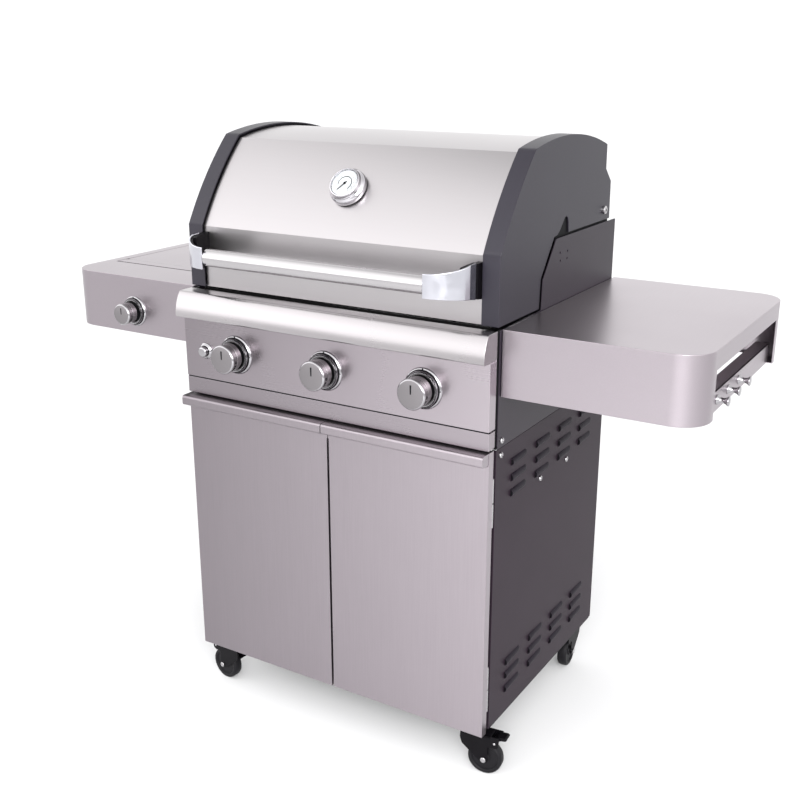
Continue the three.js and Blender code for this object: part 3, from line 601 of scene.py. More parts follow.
def sky_ramp(stops):
    """Brightness by height as a grey colour ramp, in parts of SKY_PEAK."""
    ramp = sky.nodes.new("ShaderNodeValToRGB")
    elements = ramp.color_ramp.elements
    while len(elements) < len(stops):
        elements.new(0.5)
    for element, (height, bright) in zip(elements, stops):
        element.position = height
        element.color = (*[bright / SKY_PEAK] * 3, 1.0)
    sky.links.new(split.outputs["Z"], ramp.inputs["Fac"])
    return ramp.outputs["Color"]


to_front = sky.nodes.new("ShaderNodeMapRange")
to_front.inputs["From Min"].default_value = 0.25
to_front.inputs["From Max"].default_value = -0.2
sky.links.new(split.outputs["Y"], to_front.inputs["Value"])
blend = sky.nodes.new("ShaderNodeMix")
blend.data_type = "RGBA"
sky.links.new(to_front.outputs["Result"], blend.inputs["Factor"])
sky.links.new(sky_ramp(SKY_BACK), blend.inputs["A"])
sky.links.new(sky_ramp(SKY_FRONT), blend.inputs["B"])
sky.links.new(blend.outputs["Result"], sky.nodes["Background"].inputs["Color"])
sky.nodes["Background"].inputs["Strength"].default_value = SKY_PEAK


def area_light(name, at, target, size, power, color=(1.0, 1.0, 1.0)):
    data = bpy.data.lights.new(name, "AREA")
    data.shape = "RECTANGLE"
    data.size, data.size_y = size[0] / 1000, size[1] / 1000
    data.energy = power
    data.color = color
    obj = bpy.data.objects.new(name, data)
    collection.objects.link(obj)
    obj.location = place(at)
    obj.rotation_euler = (place(target) - place(at)).to_track_quat("-Z", "Y").to_euler()
    return obj


area_light("key_front_right", (1700, -2700, 1900), (-200, -1200, 0), (2000, 1500), 120)
area_light("fill_right", (3200, -600, 1800), (300, 250, 600), (1500, 1800), 8)

# ---------------------------------------------------------------- doors
door_pan = filleted(
    [(18, DOOR["top"]), (0, DOOR["top"]), (0, DOOR["bottom"]), (18, DOOR["bottom"])],
    (1, 0, 1.5, 1),
)
lip_foot = DOOR["top"] - LIP["height"]
lip_line = filleted(
    [
        (12, DOOR["top"]),
        (-DOOR_LIP_REACH, DOOR["top"]),
        (-DOOR_LIP_REACH, DOOR["top"] - 20),
        (-4, lip_foot + 2),
        (0, lip_foot - 1),
        (0, lip_foot - 9),
        (12, lip_foot - 9),
    ],
    (0, 6, 6, 6, 2, 0, 0),
)
lip_hollow = filleted(
    [
        (11, DOOR["top"] - SHEET),
        (SHEET - DOOR_LIP_REACH, DOOR["top"] - SHEET),
        (SHEET - DOOR_LIP_REACH, DOOR["top"] - 18.6),
        (-3, lip_foot + 4),
        (SHEET, lip_foot + 2),
        (SHEET, lip_foot - 8),
        (11, lip_foot - 8),
    ],
    (0, 4.2, 4.2, 5, 1, 0, 0),
)
turn = [math.radians(-90 * i / 8) for i in range(9)]
corner = (LIP["end"] - LIP["corner"], lip_foot + LIP["corner"])
corner_arc = [
    (corner[0] + LIP["corner"] * math.cos(a), corner[1] + LIP["corner"] * math.sin(a))
    for a in turn
]
past_corner = [
    (corner[0], lip_foot - 12),
    (LIP["end"] + 2, lip_foot - 12),
    (LIP["end"] + 2, corner[1]),
]
lip_corner = prism(corner_arc + past_corner, "y", -30, -0.02)
both_sides(
    "door_skin",
    prism(door_pan, "x", DOOR["gap"], DOOR["half"]),
    steel_upright,
    "stainless",
    "door_{side}",
    adds=[prism(lip_line, "x", LIP["gap"], LIP["end"])],
    cuts=[
        prism(lip_hollow, "x", LIP["gap"] + SHEET, LIP["end"] - SHEET),
        lip_corner,
        block((DOOR["gap"] + SHEET, DOOR["half"] - SHEET), (SHEET, 16.2), (106, DOOR["top"] - SHEET)),
        block((24, DOOR["half"] - 30), (14, 20), (134, 638)),
    ],
    node="door_{side}",
    edge=0.8,
)
HINGE = {"x": 349.0, "y": 22.6, "radius": 3.4, "reach": 49.0}
for level, hinge_z in (("lower", 200.0), ("upper", 593.0)):
    top = hinge_z + HINGE["reach"]
    centre = (HINGE["x"], HINGE["y"])
    leaf = block((HINGE["x"] - 24, HINGE["x"] - 1), (16.5, 19.4), (hinge_z, top))
    arm = block((HINGE["x"] - 1.5, HINGE["x"] + 1), (17.5, HINGE["y"]), (hinge_z, top))
    door_half = joined(rod("z", HINGE["radius"], (hinge_z + 0.3, top), centre), leaf, arm)
    both_sides(f"hinge_leaf_{level}", door_half, bolt_zinc, "chrome", "door_{side}", sharp=35)
    under = (hinge_z - HINGE["reach"] - 0.2, hinge_z - 0.8)
    post_leaf = block((HINGE["x"] - 24.2, HINGE["x"] - 0.2), (HINGE["y"] + 0.6, HINGE["y"] + 3), under)
    post_half = joined(rod("z", HINGE["radius"] + 0.15, under, centre), post_leaf)
    both_sides(f"hinge_post_leaf_{level}", post_half, bolt_zinc, "chrome", "cart", sharp=35)

# ---------------------------------------------------------------- cabinet
SCOOP = {"length": 68.0, "height": 15.0, "reach": 5.5}
SCOOP_COLUMNS = (93.0, 203.0, 313.0, 421.0)
SCOOP_ROWS = (652.0, 620.0, 589.0, 225.0, 195.0, 164.0)


def scoop_solid(y, z):
    """A pressed hood, open at its front end, that fades into the panel at its back and sides."""
    length, height, reach = SCOOP["length"], SCOOP["height"], SCOOP["reach"]
    along, cross = 22, 12
    outer, inner = [], []
    for i in range(along + 1):
        t = i / along
        round_end = math.sqrt(max(0.0, 1 - (max(0.0, t - 0.86) / 0.14) ** 2))
        rise = reach * (1 - 0.5 * t) * round_end
        wide = height / 2 * (0.3 + 0.7 * round_end)
        for j in range(cross + 1):
            s = -1 + 2 * j / cross
            lift = rise * (1 - abs(s) ** 2.8)
            outer.append((CABINET["half"] + lift + 0.02, y + t * length, z + s * wide))
            hollow = max(0.0, lift - 1.1) if abs(s) < 0.95 else -0.3
            inner.append((CABINET["half"] + hollow - 0.3, y + t * length, z + s * wide * 0.97))
    base = len(outer)
    row_size = cross + 1
    faces = []
    for i in range(along):
        for j in range(cross):
            a = i * row_size + j
            faces.append((a, a + 1, a + row_size + 1, a + row_size))
            faces.append((a + base, a + base + row_size, a + base + row_size + 1, a + base + 1))
    for i in range(along):
        for edge in (0, cross):
            a = i * row_size + edge
            faces.append((a, a + row_size, a + base + row_size, a + base))
    for j in range(cross):
        for start in (0, along * row_size):
            a = start + j
            faces.append((a, a + 1, a + base + 1, a + base))
    return outer + inner, faces


def scoop_shadow(y, z):
    """A black sheet in a scoop's open front end: painted shade for the dark inside of the hood."""
    reach, half = SCOOP["reach"] - 1.5, SCOOP["height"] / 2 - 1.2
    outline = filleted(
        [(-half, -0.2), (half, -0.2), (half * 0.8, reach), (-half * 0.8, reach)], (0, 0, 2, 2)
    )
    points, faces = prism(outline, "y", y + 1.6, y + 14)
    return [(CABINET["half"] + h, yy, z + u) for u, yy, h in points], faces


panel_sheet = block(
    (CABINET["half"] - SHEET, CABINET["half"]),
    (CABINET["front"], CABINET["back"]),
    (CABINET["bottom"], CABINET["top"]),
)
front_flange = block(
    (CABINET["half"] - 9, CABINET["half"] - 1),
    (CABINET["front"], CABINET["front"] + SHEET),
    (CABINET["bottom"], CABINET["top"]),
)
both_sides(
    "side_panel_skin",
    joined(panel_sheet, front_flange),
    charcoal,
    "dark_panel",
    "cart",
    node="side_panel_{side}",
    edge=0.6,
)
scoops = joined(*[scoop_solid(y, z) for y in SCOOP_COLUMNS for z in SCOOP_ROWS])
both_sides("side_louvres", scoops, louvre_shaded_paint, "dark_panel", "cart", sharp=55)
shadows = joined(*[scoop_shadow(y, z) for y in SCOOP_COLUMNS for z in SCOOP_ROWS])
# Black sheets in the louvres' open ends: painted shade.
both_sides("side_louvre_mouth_shade", shadows, ink, "black_mark", "cart")

SIDE_SCREWS = ((46, 710), (47, 681), (361, 570), (230, 572))
for i, (y, z) in enumerate(SIDE_SCREWS):
    on = CABINET["half"] if z < CABINET["top"] else 354.5
    screw(f"side_screw_right_{i}", facing_side(on, y, z))
    screw(f"side_screw_left_{i}", facing_side(-on, y, z, -1))

UPPER_OUTLINE = [(28, 697), (562, 697), (562, 1047), (256, 1047), (201, 978), (198, 921), (28, 919)]
upper_solid = prism(filleted(UPPER_OUTLINE, (1, 1, 4, 6, 8, 2, 1)), "x", 352.7, 354.5)
upper_hole_places = ((276, 1018), (312, 1016), (279, 1002), (311, 1002))
upper_holes = [rod("x", 2.4, (350, 357), at, 16) for at in upper_hole_places]
both_sides(
    "upper_side_skin",
    upper_solid,
    upper_paint,
    "dark_panel",
    "cart",
    cuts=upper_holes,
    node="upper_side_{side}",
    edge=0.5,
)
# Dark sheets behind the gaps beside the control panel's ends, under the trim's ends and at the lid caps'
# seam: painted shade in the gaps.
side_gap_shade = block((346, 351.8), (25.3, 44), (697.5, 917))
both_sides("panel_side_gap_shade", side_gap_shade, black_coat, "black_frame", "cart")
both_sides("trim_end_gap_shade", block((344, 354.3), (22.3, 44), (698.4, 701.8)), ink, "black_frame", "cart")
cap_seam_shade = block((342, 348.2), (187, 212), (921, 984))
both_sides("cap_seam_gap_shade", cap_seam_shade, ink, "black_frame", "cart")
for node in ("bottom_shelf", "front_frame", "back_panel"):
    finish_node(node, black_coat)

# ---------------------------------------------------------------- control panel
NOSE = arc((-28.5, 871), (-14, 916.5), 3.5, 10)
NOSE_FOOT = 866.2
PANEL_OUTLINE = [(PANEL_BACK, 738), (PANEL_FACE, 738), (-3.6, NOSE_FOOT), (PANEL_BACK, NOSE_FOOT)]
NOSE_OUTLINE = [
    (PANEL_BACK, NOSE_FOOT),
    (-3.6, NOSE_FOOT),
    (-9, NOSE_FOOT),
    (-24, 867),
    (-27, 868.2),
    *NOSE,
    (-11.5, 918.4),
    (-8, 919),
    (PANEL_BACK, 919),
]
panel_hollow = prism(
    [(30, 740), (-1.2, 740), (-1.6, 868), (-20, 872), (-10, 917.2), (30, 917.2)], "x", -350.5, 350.5
)
piece(
    "control_panel_skin",
    prism(PANEL_OUTLINE, "x", -PANEL_HALF, PANEL_HALF),
    steel_level,
    "stainless",
    "cart",
    cuts=[panel_hollow],
    stands_for=("control_panel",),
    edge=0.8,
)
piece(
    "control_panel_nose",
    prism(NOSE_OUTLINE, "x", -PANEL_HALF, PANEL_HALF),
    steel_nose,
    "stainless",
    "cart",
    cuts=[panel_hollow],
    edge=0.8,
)
piece(
    "panel_trim_strip",
    block((-TRIM["half"], TRIM["half"]), (TRIM["front"], TRIM["back"]), (TRIM["bottom"], TRIM["top"] - 0.6)),
    steel_trim,
    "stainless",
    "cart",
    cuts=[block((-350.5, 350.5), (0, 30), (704, 734))],
    stands_for=("panel_trim",),
    edge=1.0,
)

# A black strip in the gap between the control panel and the trim: painted shade in the gap.
gap_shade_strip = block((-350.5, 350.5), (-1.7, 6), (TRIM["top"] - 0.55, TRIM["top"] + 1.95))
piece("panel_gap_shade", gap_shade_strip, ink, "black_mark", "cart")

# ---------------------------------------------------------------- knobs
def bezel_solid():
    return turned(
        [
            (30.2, -0.5),
            (40.0, -0.5),
            (40.0, 1.0),
            (39.4, 2.6),
            (38.0, 3.8),
            (36.4, 4.6),
            (35.3, 6.0),
            (34.4, 9.0),
            (33.6, 11.6),
            (32.6, 12.7),
            (31.2, 13.0),
            (30.2, 12.4),
            (30.2, -0.5),
        ],
        72,
    )


def knob_solid(radius, depth):
    """A drum with a thin groove round it and a wider, bevelled front."""
    drum = radius - 1.5
    return turned(
        [
            (0, 0),
            (drum - 0.4, 0),
            (drum, 0.4),
            (drum, depth * 0.43),
            (drum - 0.6, depth * 0.45),
            (drum - 0.6, depth * 0.48),
            (drum, depth * 0.5),
            (drum, depth - 7.5),
            (radius - 0.4, depth - 6.7),
            (radius, depth - 5.8),
            (radius, depth - 2.8),
            (radius - 0.3, depth - 2.1),
            (radius - 2.3, depth - 0.2),
            (radius - 2.9, depth),
            (0, depth),
        ],
        72,
    )


def knob(name, at, radius, depth, stem, node):
    """A knob with its groove, a black ring of painted shade in the groove, bright bevel, pointer and printed
    marks. at is its back's middle.
    """
    seat = facing_front(*at)
    body = f"knob_{name}"
    size = radius / 29.5
    drum = radius - 1.5
    piece(
        f"knob_{name}_drum",
        moved(knob_solid(radius, depth), seat),
        steel_knob,
        "knob_metal",
        body,
        stands_for=(node,),
        sharp=25,
    )
    ring_line = [
        (radius - 0.25, depth - 2.1),
        (radius + 0.05, depth - 2.8),
        (radius - 0.05, depth - 2.25),
        (radius - 2.2, depth - 0.1),
        (radius - 3.0, depth + 0.15),
        (radius - 2.4, depth - 0.25),
        (radius - 0.25, depth - 2.1),
    ]
    piece(f"knob_{name}_bevel", moved(turned(ring_line, 72), seat), bezel_chrome, "chrome", body)
    # A black ring in the drum's groove: painted shade in the groove.
    low, high = depth * 0.45, depth * 0.48
    inner, outer = drum - 0.7, drum - 0.2
    groove = turned([(inner, low), (outer, low), (outer, high), (inner, high), (inner, low)], 72)
    piece(f"knob_{name}_groove", moved(groove, seat), ink, "black_mark", body)
    line = filleted([(-1.3, 0.5), (1.3, 0.5), (1.8, 18), (-1.8, 18)], (0.7, 0.7, 1.2, 1.2))
    pointer = prism([(x * size, y * size) for x, y in line], "z", depth - 0.4, depth + 0.12)
    piece(f"knob_{name}_pointer", moved(pointer, seat), ink, "black_mark", body)
    marks = []
    for degrees, spot_radius in ((-8, 3.0), (-25, 2.6), (-37, 3.1), (-50, 3.5), (-64, 2.8)):
        spot_radius *= size
        spot = turned([(0, 0), (spot_radius * 0.9, 0), (spot_radius * 0.9, 0.35), (0, 0.35)], 14)
        if degrees > -10:
            hole = spot_radius * 0.45
            spot = turned([(hole, 0), (spot_radius, 0), (spot_radius, 0.35), (hole, 0.35), (hole, 0)], 20)
        to_rim = Matrix.Translation((drum - 0.15, 0, depth * 0.64))
        outwards = Matrix.Rotation(math.radians(degrees), 4, "Z") @ to_rim
        marks.append(moved(spot, seat @ outwards @ Matrix.Rotation(math.pi / 2, 4, "Y")))
    piece(f"knob_{name}_marks", joined(*marks), ink, "black_mark", body)
    finish_node(stem, plain_steel)


def bezel(name, x, y, z, scale=1.0):
    seat = facing_front(x, y, z) @ Matrix.Scale(scale, 4)
    piece(f"bezel_{name}", moved(bezel_solid(), seat), bezel_chrome, "chrome", "cart", sharp=50)
    # A black disc on the panel face inside the bezel: painted shade in the well behind the knob.
    well_shade_disc = turned([(0, 0.05), (30.3, 0.05), (30.3, 0.6), (0, 0.6)], 48)
    sleeve = turned(
        [(28.6, 0.5), (30.3, 0.5), (30.3, 11.2), (29.9, 11.6), (28.9, 11.6), (28.6, 11.2), (28.6, 0.5)],
        72,
    )
    piece(f"bezel_{name}_sleeve", moved(sleeve, seat), steel_knob, "chrome", "cart")
    piece(f"bezel_{name}_well", moved(well_shade_disc, seat), ink, "black_mark", "cart")
    # Black rings on the chrome bezel's step and lip: painted dark reflections.
    step_dark_reflection = turned([(34.6, 8.4), (35.5, 5.75), (36.5, 4.75), (35.2, 5.2), (34.0, 8.4), (34.6, 8.4)], 72)
    lip_dark_reflection = turned(
        [(32.1, 13.0), (33.2, 12.3), (33.9, 10.9), (32.9, 11.0), (31.8, 12.4), (32.1, 13.0)],
        72,
    )
    for ring, solid in (("step_painted_reflection", step_dark_reflection), ("lip_painted_reflection", lip_dark_reflection)):
        piece(f"bezel_{name}_{ring}_ring", moved(solid, seat), ink, "black_mark", "cart")
    spots = []
    for degrees, size in ((90, 1.5), (0, 1.2), (-90, 1.2)):
        a = math.radians(degrees)
        spot = turned([(0, 0), (size, 0), (size, 0.5), (0, 0.5)], 14)
        spots.append(moved(spot, seat @ Matrix.Translation((37.2 * math.cos(a), 37.2 * math.sin(a), 4.1))))
    piece(f"bezel_{name}_dots", joined(*spots), ink, "black_mark", "cart")


for number, knob_x in enumerate(BURNER_XS, 1):
    bezel(number, knob_x, PANEL_FACE, KNOB_Z)
    knob(number, (knob_x, -21, KNOB_Z), 29.5, 29, f"valve_stem_{number}", f"knob_{number}")
bezel("side", *SIDE_KNOB, SIDE_KNOB_SCALE)
knob("side", (SIDE_KNOB[0], SIDE_KNOB[1] - 16, SIDE_KNOB[2]), 23, 26, "valve_stem_side", "knob_side")

# ---------------------------------------------------------------- igniter
igniter_seat = facing_front(IGNITER[0], PANEL_FACE, IGNITER[1])
collar = turned(
    [
        (11.2, -0.4),
        (17.0, -0.4),
        (17.0, 1.4),
        (16.2, 2.4),
        (14.8, 3.0),
        (14.0, 4.2),
        (12.8, 5.0),
        (11.7, 5.0),
        (11.2, 4.5),
        (11.2, -0.4),
    ],
    48,
)
piece("igniter_collar", moved(collar, igniter_seat), bezel_chrome, "chrome", "cart")
# A black disc on the panel face inside the collar: painted shade round the button.
igniter_well_shade = turned([(0, 0.05), (11.3, 0.05), (11.3, 0.5), (0, 0.5)], 48)
piece("igniter_well_shade", moved(igniter_well_shade, igniter_seat), ink, "black_mark", "cart")
push = turned(
    [
        (0, -12),
        (6.6, -12),
        (6.6, 2),
        (10.3, 2),
        (10.6, 2.4),
        (10.6, 9.6),
        (9.9, 11.3),
        (8.2, 12.3),
        (5, 12.5),
        (0, 12.5),
    ],
    48,
)
push_seat = facing_front(IGNITER[0], PANEL_FACE - 2, IGNITER[1])
piece(
    "igniter_button",
    moved(push, push_seat),
    bezel_chrome,
    "chrome",
    "ignition_button",
    stands_for=("ignition_button",),
)

# ---------------------------------------------------------------- lid
LID_LINE = [
    (LID["front"], LID["bottom"]),
    *arc((LID["front"], 1049), (155, 1219), 8, 24),
    *arc((155, 1219), (500, 1204), 23, 36)[1:],
    (501, 1155),
    (531, 1128),
]
skin_half = LID["half"] - LID["cap_width"] - 0.4
gauge_tilt = Vector((0, 0, 1)).rotation_difference(GAUGE["normal"]).to_matrix().to_4x4()
gauge_hole = moved(
    turned([(0, -30), (7, -30), (7, 30), (0, 30)], 24),
    Matrix.Translation((0, GAUGE["y"], GAUGE["z"])) @ gauge_tilt,
)
piece(
    "lid_skin_sheet",
    prism(bent(LID_LINE + [(532, 1060)], LID["inset"], LID["inset"] + SHEET), "x", -skin_half, skin_half),
    steel_lid,
    "stainless",
    "lid",
    cuts=[gauge_hole],
    stands_for=("lid_skin",),
    sharp=18,
)
CAP_OUTLINE = LID_LINE + [
    (533, 1051),
    (319, 1051),
    (316, 1072),
    (312, 1080),
    (305, 1083.5),
    (298, 1081),
    (288, 1071),
    (276, 1059),
    (265, 1053),
    (252, 1051),
    (197, 980),
    (194, LID["bottom"]),
]
cap_solid = prism(CAP_OUTLINE, "x", LID["half"] - LID["cap_width"], LID["half"])
hollow_line = offset(LID_LINE, 3.0)
hollow_line = [(hollow_line[0][0], LID["bottom"] + 3)] + hollow_line[1:]
cap_hollow = prism(hollow_line + [(540, 1100), (540, 900), (194, 900), (60, 927)], "x", 300, LID["half"] - 3)
both_sides(
    "lid_cap_casting",
    cap_solid,
    cap_paint,
    "cap_paint",
    "lid",
    cuts=[cap_hollow],
    node="lid_cap_{side}",
    edge=4.0,
    bevel_angle=50,
)
baffle_outline = [(262, 1036), (531, 1036), (531, 1110), (262, 1110)]
both_sides(
    "lid_cap_baffle",
    prism(baffle_outline, "x", 346.6, 348.6),
    ink,
    "black_frame",
    "lid",
    cuts=[rod("x", 9, (340, 350), LID_PIVOT, 24)],
)
for side, sign in (("right", 1), ("left", -1)):
    head = turned([(0, -0.5), (8.5, -0.5), (8.5, 3.6), (7.4, 4.9), (5.5, 5.4), (0, 5.4)], 36)
    socket = turned([(0, 3.0), (3.2, 3.0), (3.2, 7.0), (0, 7.0)], 6)
    shank = turned([(0, -28.6), (4.8, -28.6), (4.8, 0), (0, 0)], 24)
    seat = facing_side(sign * 352.6, *LID_PIVOT, sign)
    piece(
        f"hinge_screw_{side}",
        moved(joined(head, shank), seat),
        bolt_zinc,
        "chrome",
        "cart",
        cuts=[moved(socket, seat)],
        stands_for=(f"lid_hinge_pin_{side}",),
    )

# ---------------------------------------------------------------- handle
HANDLE_AXIS = (HANDLE["y"], HANDLE["z"])
tube = rod("x", HANDLE["radius"], (0.4 - HANDLE["end"], HANDLE["end"] - 0.4), HANDLE_AXIS, 64, 1.0)
piece("handle_bar", tube, steel_tube, "stainless", "lid", stands_for=("handle_tube",), sharp=30)
ends = (-HANDLE["end"] - 9, HANDLE["end"] + 9)
spigot = rod("x", HANDLE["spigot"], ends, HANDLE_AXIS, 32)
piece("handle_spigots", spigot, nylon, "caster_plastic", "lid")


def bezier(a, b, c, d, steps):
    """Points of a cubic curve."""
    a, b, c, d = Vector(a), Vector(b), Vector(c), Vector(d)
    points = []
    for i in range(steps + 1):
        t = i / steps
        s = 1 - t
        points.append(tuple(a * s**3 + b * 3 * s * s * t + c * 3 * s * t * t + d * t**3))
    return points


# Elbow at each end of the handle: a bright band round a black core. It carries on from the tube,
# sweeps back and grows taller.
MOUNT_BACK = LID["front"] + LID["inset"] - 0.4
MOUNT_LEVELS = ((MOUNT_BACK, 968, 1038), (-8, 975.5, 1036), (-61, 980.5, 1022.5))
mount_front = HANDLE["y"] - HANDLE["radius"]
mount_sweep = bezier(
    (HANDLE["end"], mount_front),
    (HANDLE["end"] + 30, mount_front),
    (HANDLE["outer"] - 4, mount_front + 26),
    (HANDLE["outer"], -8),
    24,
)
band_path = mount_sweep + [(HANDLE["outer"] + 0.9, 10)]


def mount_height(y, inset=0.0):
    """The lowest and highest points of a mount at a distance from the lid."""
    for (y1, low1, high1), (y0, low0, high0) in zip(MOUNT_LEVELS, MOUNT_LEVELS[1:]):
        if y >= y0:
            t = min(1.0, (y - y0) / (y1 - y0))
            return low0 + (low1 - low0) * t + inset, high0 + (high1 - high0) * t - inset
    return MOUNT_LEVELS[-1][1] + inset, MOUNT_LEVELS[-1][2] - inset


def upright_strip(path, near, far, inset=0.0):
    """A strip on edge between two offsets of a plan path, as tall as the mount is there."""
    points, faces = [], []
    for (x0, y0), (x1, y1) in zip(offset(path, near), offset(path, far)):
        low, high = mount_height((y0 + y1) / 2, inset)
        points += [(x0, y0, low), (x0, y0, high), (x1, y1, high), (x1, y1, low)]
    last = len(points) - 4
    faces += [(0, 1, 2, 3), (last + 3, last + 2, last + 1, last)]
    for a in range(0, last, 4):
        faces += [(a + i, a + 4 + i, a + 4 + (i + 1) % 4, a + (i + 1) % 4) for i in range(4)]
    return points, faces


both_sides(
    "handle_mount_band",
    upright_strip(band_path, 0, -3.6),
    band_chrome,
    "chrome",
    "lid",
    node="handle_mount_{side}",
    edge=1.2,
)
lining = upright_strip(mount_sweep[:-4], -3.9, -7.5, 2.5)
core_path = [
    mount_sweep[-5],
    mount_sweep[-2],
    (HANDLE["outer"] + 0.6, 11),
    (HANDLE["outer"] + 5.4, 12),
    (HANDLE["outer"] + 5.8, MOUNT_BACK),
]
core_block = upright_strip(core_path, -3.9, -14, 2.0)
socket = rod("x", 11.5, (HANDLE["end"] + 0.6, HANDLE["end"] + 10), HANDLE_AXIS, 32)
bore = rod("x", HANDLE["spigot"] + 0.4, (HANDLE["end"] - 3, HANDLE["end"] + 12), HANDLE_AXIS, 32)
both_sides(
    "handle_mount_core",
    core_block,
    nylon,
    "caster_plastic",
    "lid",
    adds=[lining, socket],
    cuts=[bore],
)

# ---------------------------------------------------------------- gauge
gauge_seat = (
    Matrix.Translation(Vector((0, GAUGE["y"], GAUGE["z"])) + GAUGE["normal"] * 0.4)
    @ Vector((0, 0, 1)).rotation_difference(GAUGE["normal"]).to_matrix().to_4x4()
)
gauge_ring = turned(
    [
        (0.0, -16.0),
        (0.0, 18.0),
        (27.6, 18.0),
        (27.6, 22.5),
        (28.4, 23.7),
        (29.6, 23.6),
        (31.0, 22.4),
        (31.6, 20.0),
        (32.4, 15.5),
        (34.0, 13.0),
        (36.4, 11.4),
        (37.6, 9.0),
        (38.0, 6.0),
        (38.0, 1.4),
        (37.4, 0.6),
        (5.0, 0.6),
        (5.0, -16.0),
    ],
    72,
)
piece("gauge_case", moved(gauge_ring, gauge_seat), chrome, "chrome", "lid", stands_for=("gauge",), sharp=50)
plate = turned([(0, 18.1), (27.4, 18.1), (27.4, 18.6), (0, 18.6)], 64)
piece("gauge_dial", moved(plate, gauge_seat), dial_white, "dial_face", "lid")


def arc_band(radius, width, start, end, low, high, steps=40):
    """A flat printed arc on the dial."""
    inner, outer = [], []
    for i in range(steps + 1):
        a = math.radians(start + (end - start) * i / steps)
        inner.append(((radius - width / 2) * math.cos(a), (radius - width / 2) * math.sin(a)))
        outer.append(((radius + width / 2) * math.cos(a), (radius + width / 2) * math.sin(a)))
    return prism(inner + outer[::-1], "z", low, high)


printed = [arc_band(14.5, 1.7, -50, 195, 18.6, 18.75)]
for i in range(9):
    a = math.radians(-50 + 245 * i / 8)
    tick = prism([(17.0, -0.35), (20.0, -0.35), (20.0, 0.35), (17.0, 0.35)], "z", 18.6, 18.72)
    printed.append(moved(tick, Matrix.Rotation(a, 4, "Z")))
piece("gauge_print", moved(joined(*printed), gauge_seat), dial_grey, "black_mark", "lid")
needle = prism([(-18, -0.8), (-19, 0), (-18, 0.8), (4.5, 1.5), (5.5, 0), (4.5, -1.5)], "z", 19.2, 19.7)
hub = turned([(0, 18.5), (2.6, 18.5), (2.6, 20.2), (2.0, 20.8), (0, 20.8)], 24)
pointer = joined(moved(needle, Matrix.Rotation(math.radians(52), 4, "Z")), hub)
piece("gauge_needle", moved(pointer, gauge_seat), dial_grey, "black_mark", "lid")
cover_glass = turned([(0, 21.4), (27.5, 21.4), (27.5, 22.6), (0, 22.9)], 64)
piece("gauge_lens", moved(cover_glass, gauge_seat), lens, "gauge_glass", "lid")

# ---------------------------------------------------------------- side shelves
def shelf_outer():
    s = SHELF
    plan = rounded_plan(s["inner"], s["outer"], s["front"], s["back"], SHELF_CORNER)
    return prism(plan, "z", s["bottom"], s["top"])


def shelf_hollow():
    s = SHELF
    plan = rounded_plan(
        s["inner"] + SHEET,
        s["outer"] - SHEET,
        s["front"] + SHEET,
        s["back"] - SHEET,
        SHELF_CORNER - SHEET,
    )
    return prism(plan, "z", s["bottom"] + SHEET, s["top"] - SHEET)


def shelf_mouth():
    s = SHELF
    plan = rounded_plan(s["inner"] + 6, s["outer"] - 14, s["front"] + 14, s["back"] - 14, SHELF_CORNER - 14)
    return prism(plan, "z", s["bottom"] - 2, s["bottom"] + 4)


end_slot = block((SHELF["outer"] - 40, SHELF["outer"] + 5), (100, 506), (SHELF["bottom"] - 1, 884))
piece(
    "right_shelf_shell",
    shelf_outer(),
    steel_deep,
    "stainless",
    "cart",
    cuts=[shelf_hollow(), shelf_mouth(), end_slot],
    stands_for=("right_shelf",),
    edge=1.9,
)
well_cut = block(WELL["x"], WELL["y"], (SHELF["top"] - 10, SHELF["top"] + 5))
stem_cut = rod("y", 12, (SHELF["front"] - 5, SHELF["front"] + 5), (SIDE_KNOB[0], SIDE_KNOB[2]))
piece(
    "left_shelf_shell",
    mirrored(shelf_outer()),
    steel_deep,
    "stainless",
    "cart",
    cuts=[mirrored(shelf_hollow()), mirrored(shelf_mouth()), well_cut, stem_cut],
    stands_for=("left_shelf",),
    edge=1.9,
)
RAIL_YS = (97, 509)
RAIL_ZS = (798, 836)
RAIL_FLANGE = (RAIL_FACE - 26, RAIL_FACE)
rail_face = block((RAIL_FACE - SHEET, RAIL_FACE), RAIL_YS, RAIL_ZS)
rail_top = block(RAIL_FLANGE, RAIL_YS, (RAIL_ZS[1] - SHEET, RAIL_ZS[1]))
rail_ends = [block(RAIL_FLANGE, ys, RAIL_ZS) for ys in ((97, 99), (507, 509))]
piece(
    "towel_rail_channel",
    joined(rail_face, rail_top, *rail_ends),
    steel_deep,
    "stainless",
    "cart",
    stands_for=("towel_rail",),
    sharp=30,
)
spool = turned(
    [
        (0, -0.5),
        (8.4, -0.5),
        (9.0, 0.4),
        (8.6, 1.6),
        (6.8, 3.6),
        (5.2, 6.6),
        (4.6, 10.0),
        (5.0, 13.4),
        (6.4, 17.0),
        (8.4, 19.2),
        (9.0, 20.4),
        (8.6, 21.6),
        (7.2, 22.0),
        (0, 22.0),
    ],
    36,
)
for i, hook_y in enumerate(HOOK_YS):
    hook = moved(spool, facing_side(RAIL_FACE, hook_y, HOOK_Z))
    piece(f"tool_hook_{i + 1}", hook, bezel_chrome, "chrome", "cart", sharp=60)

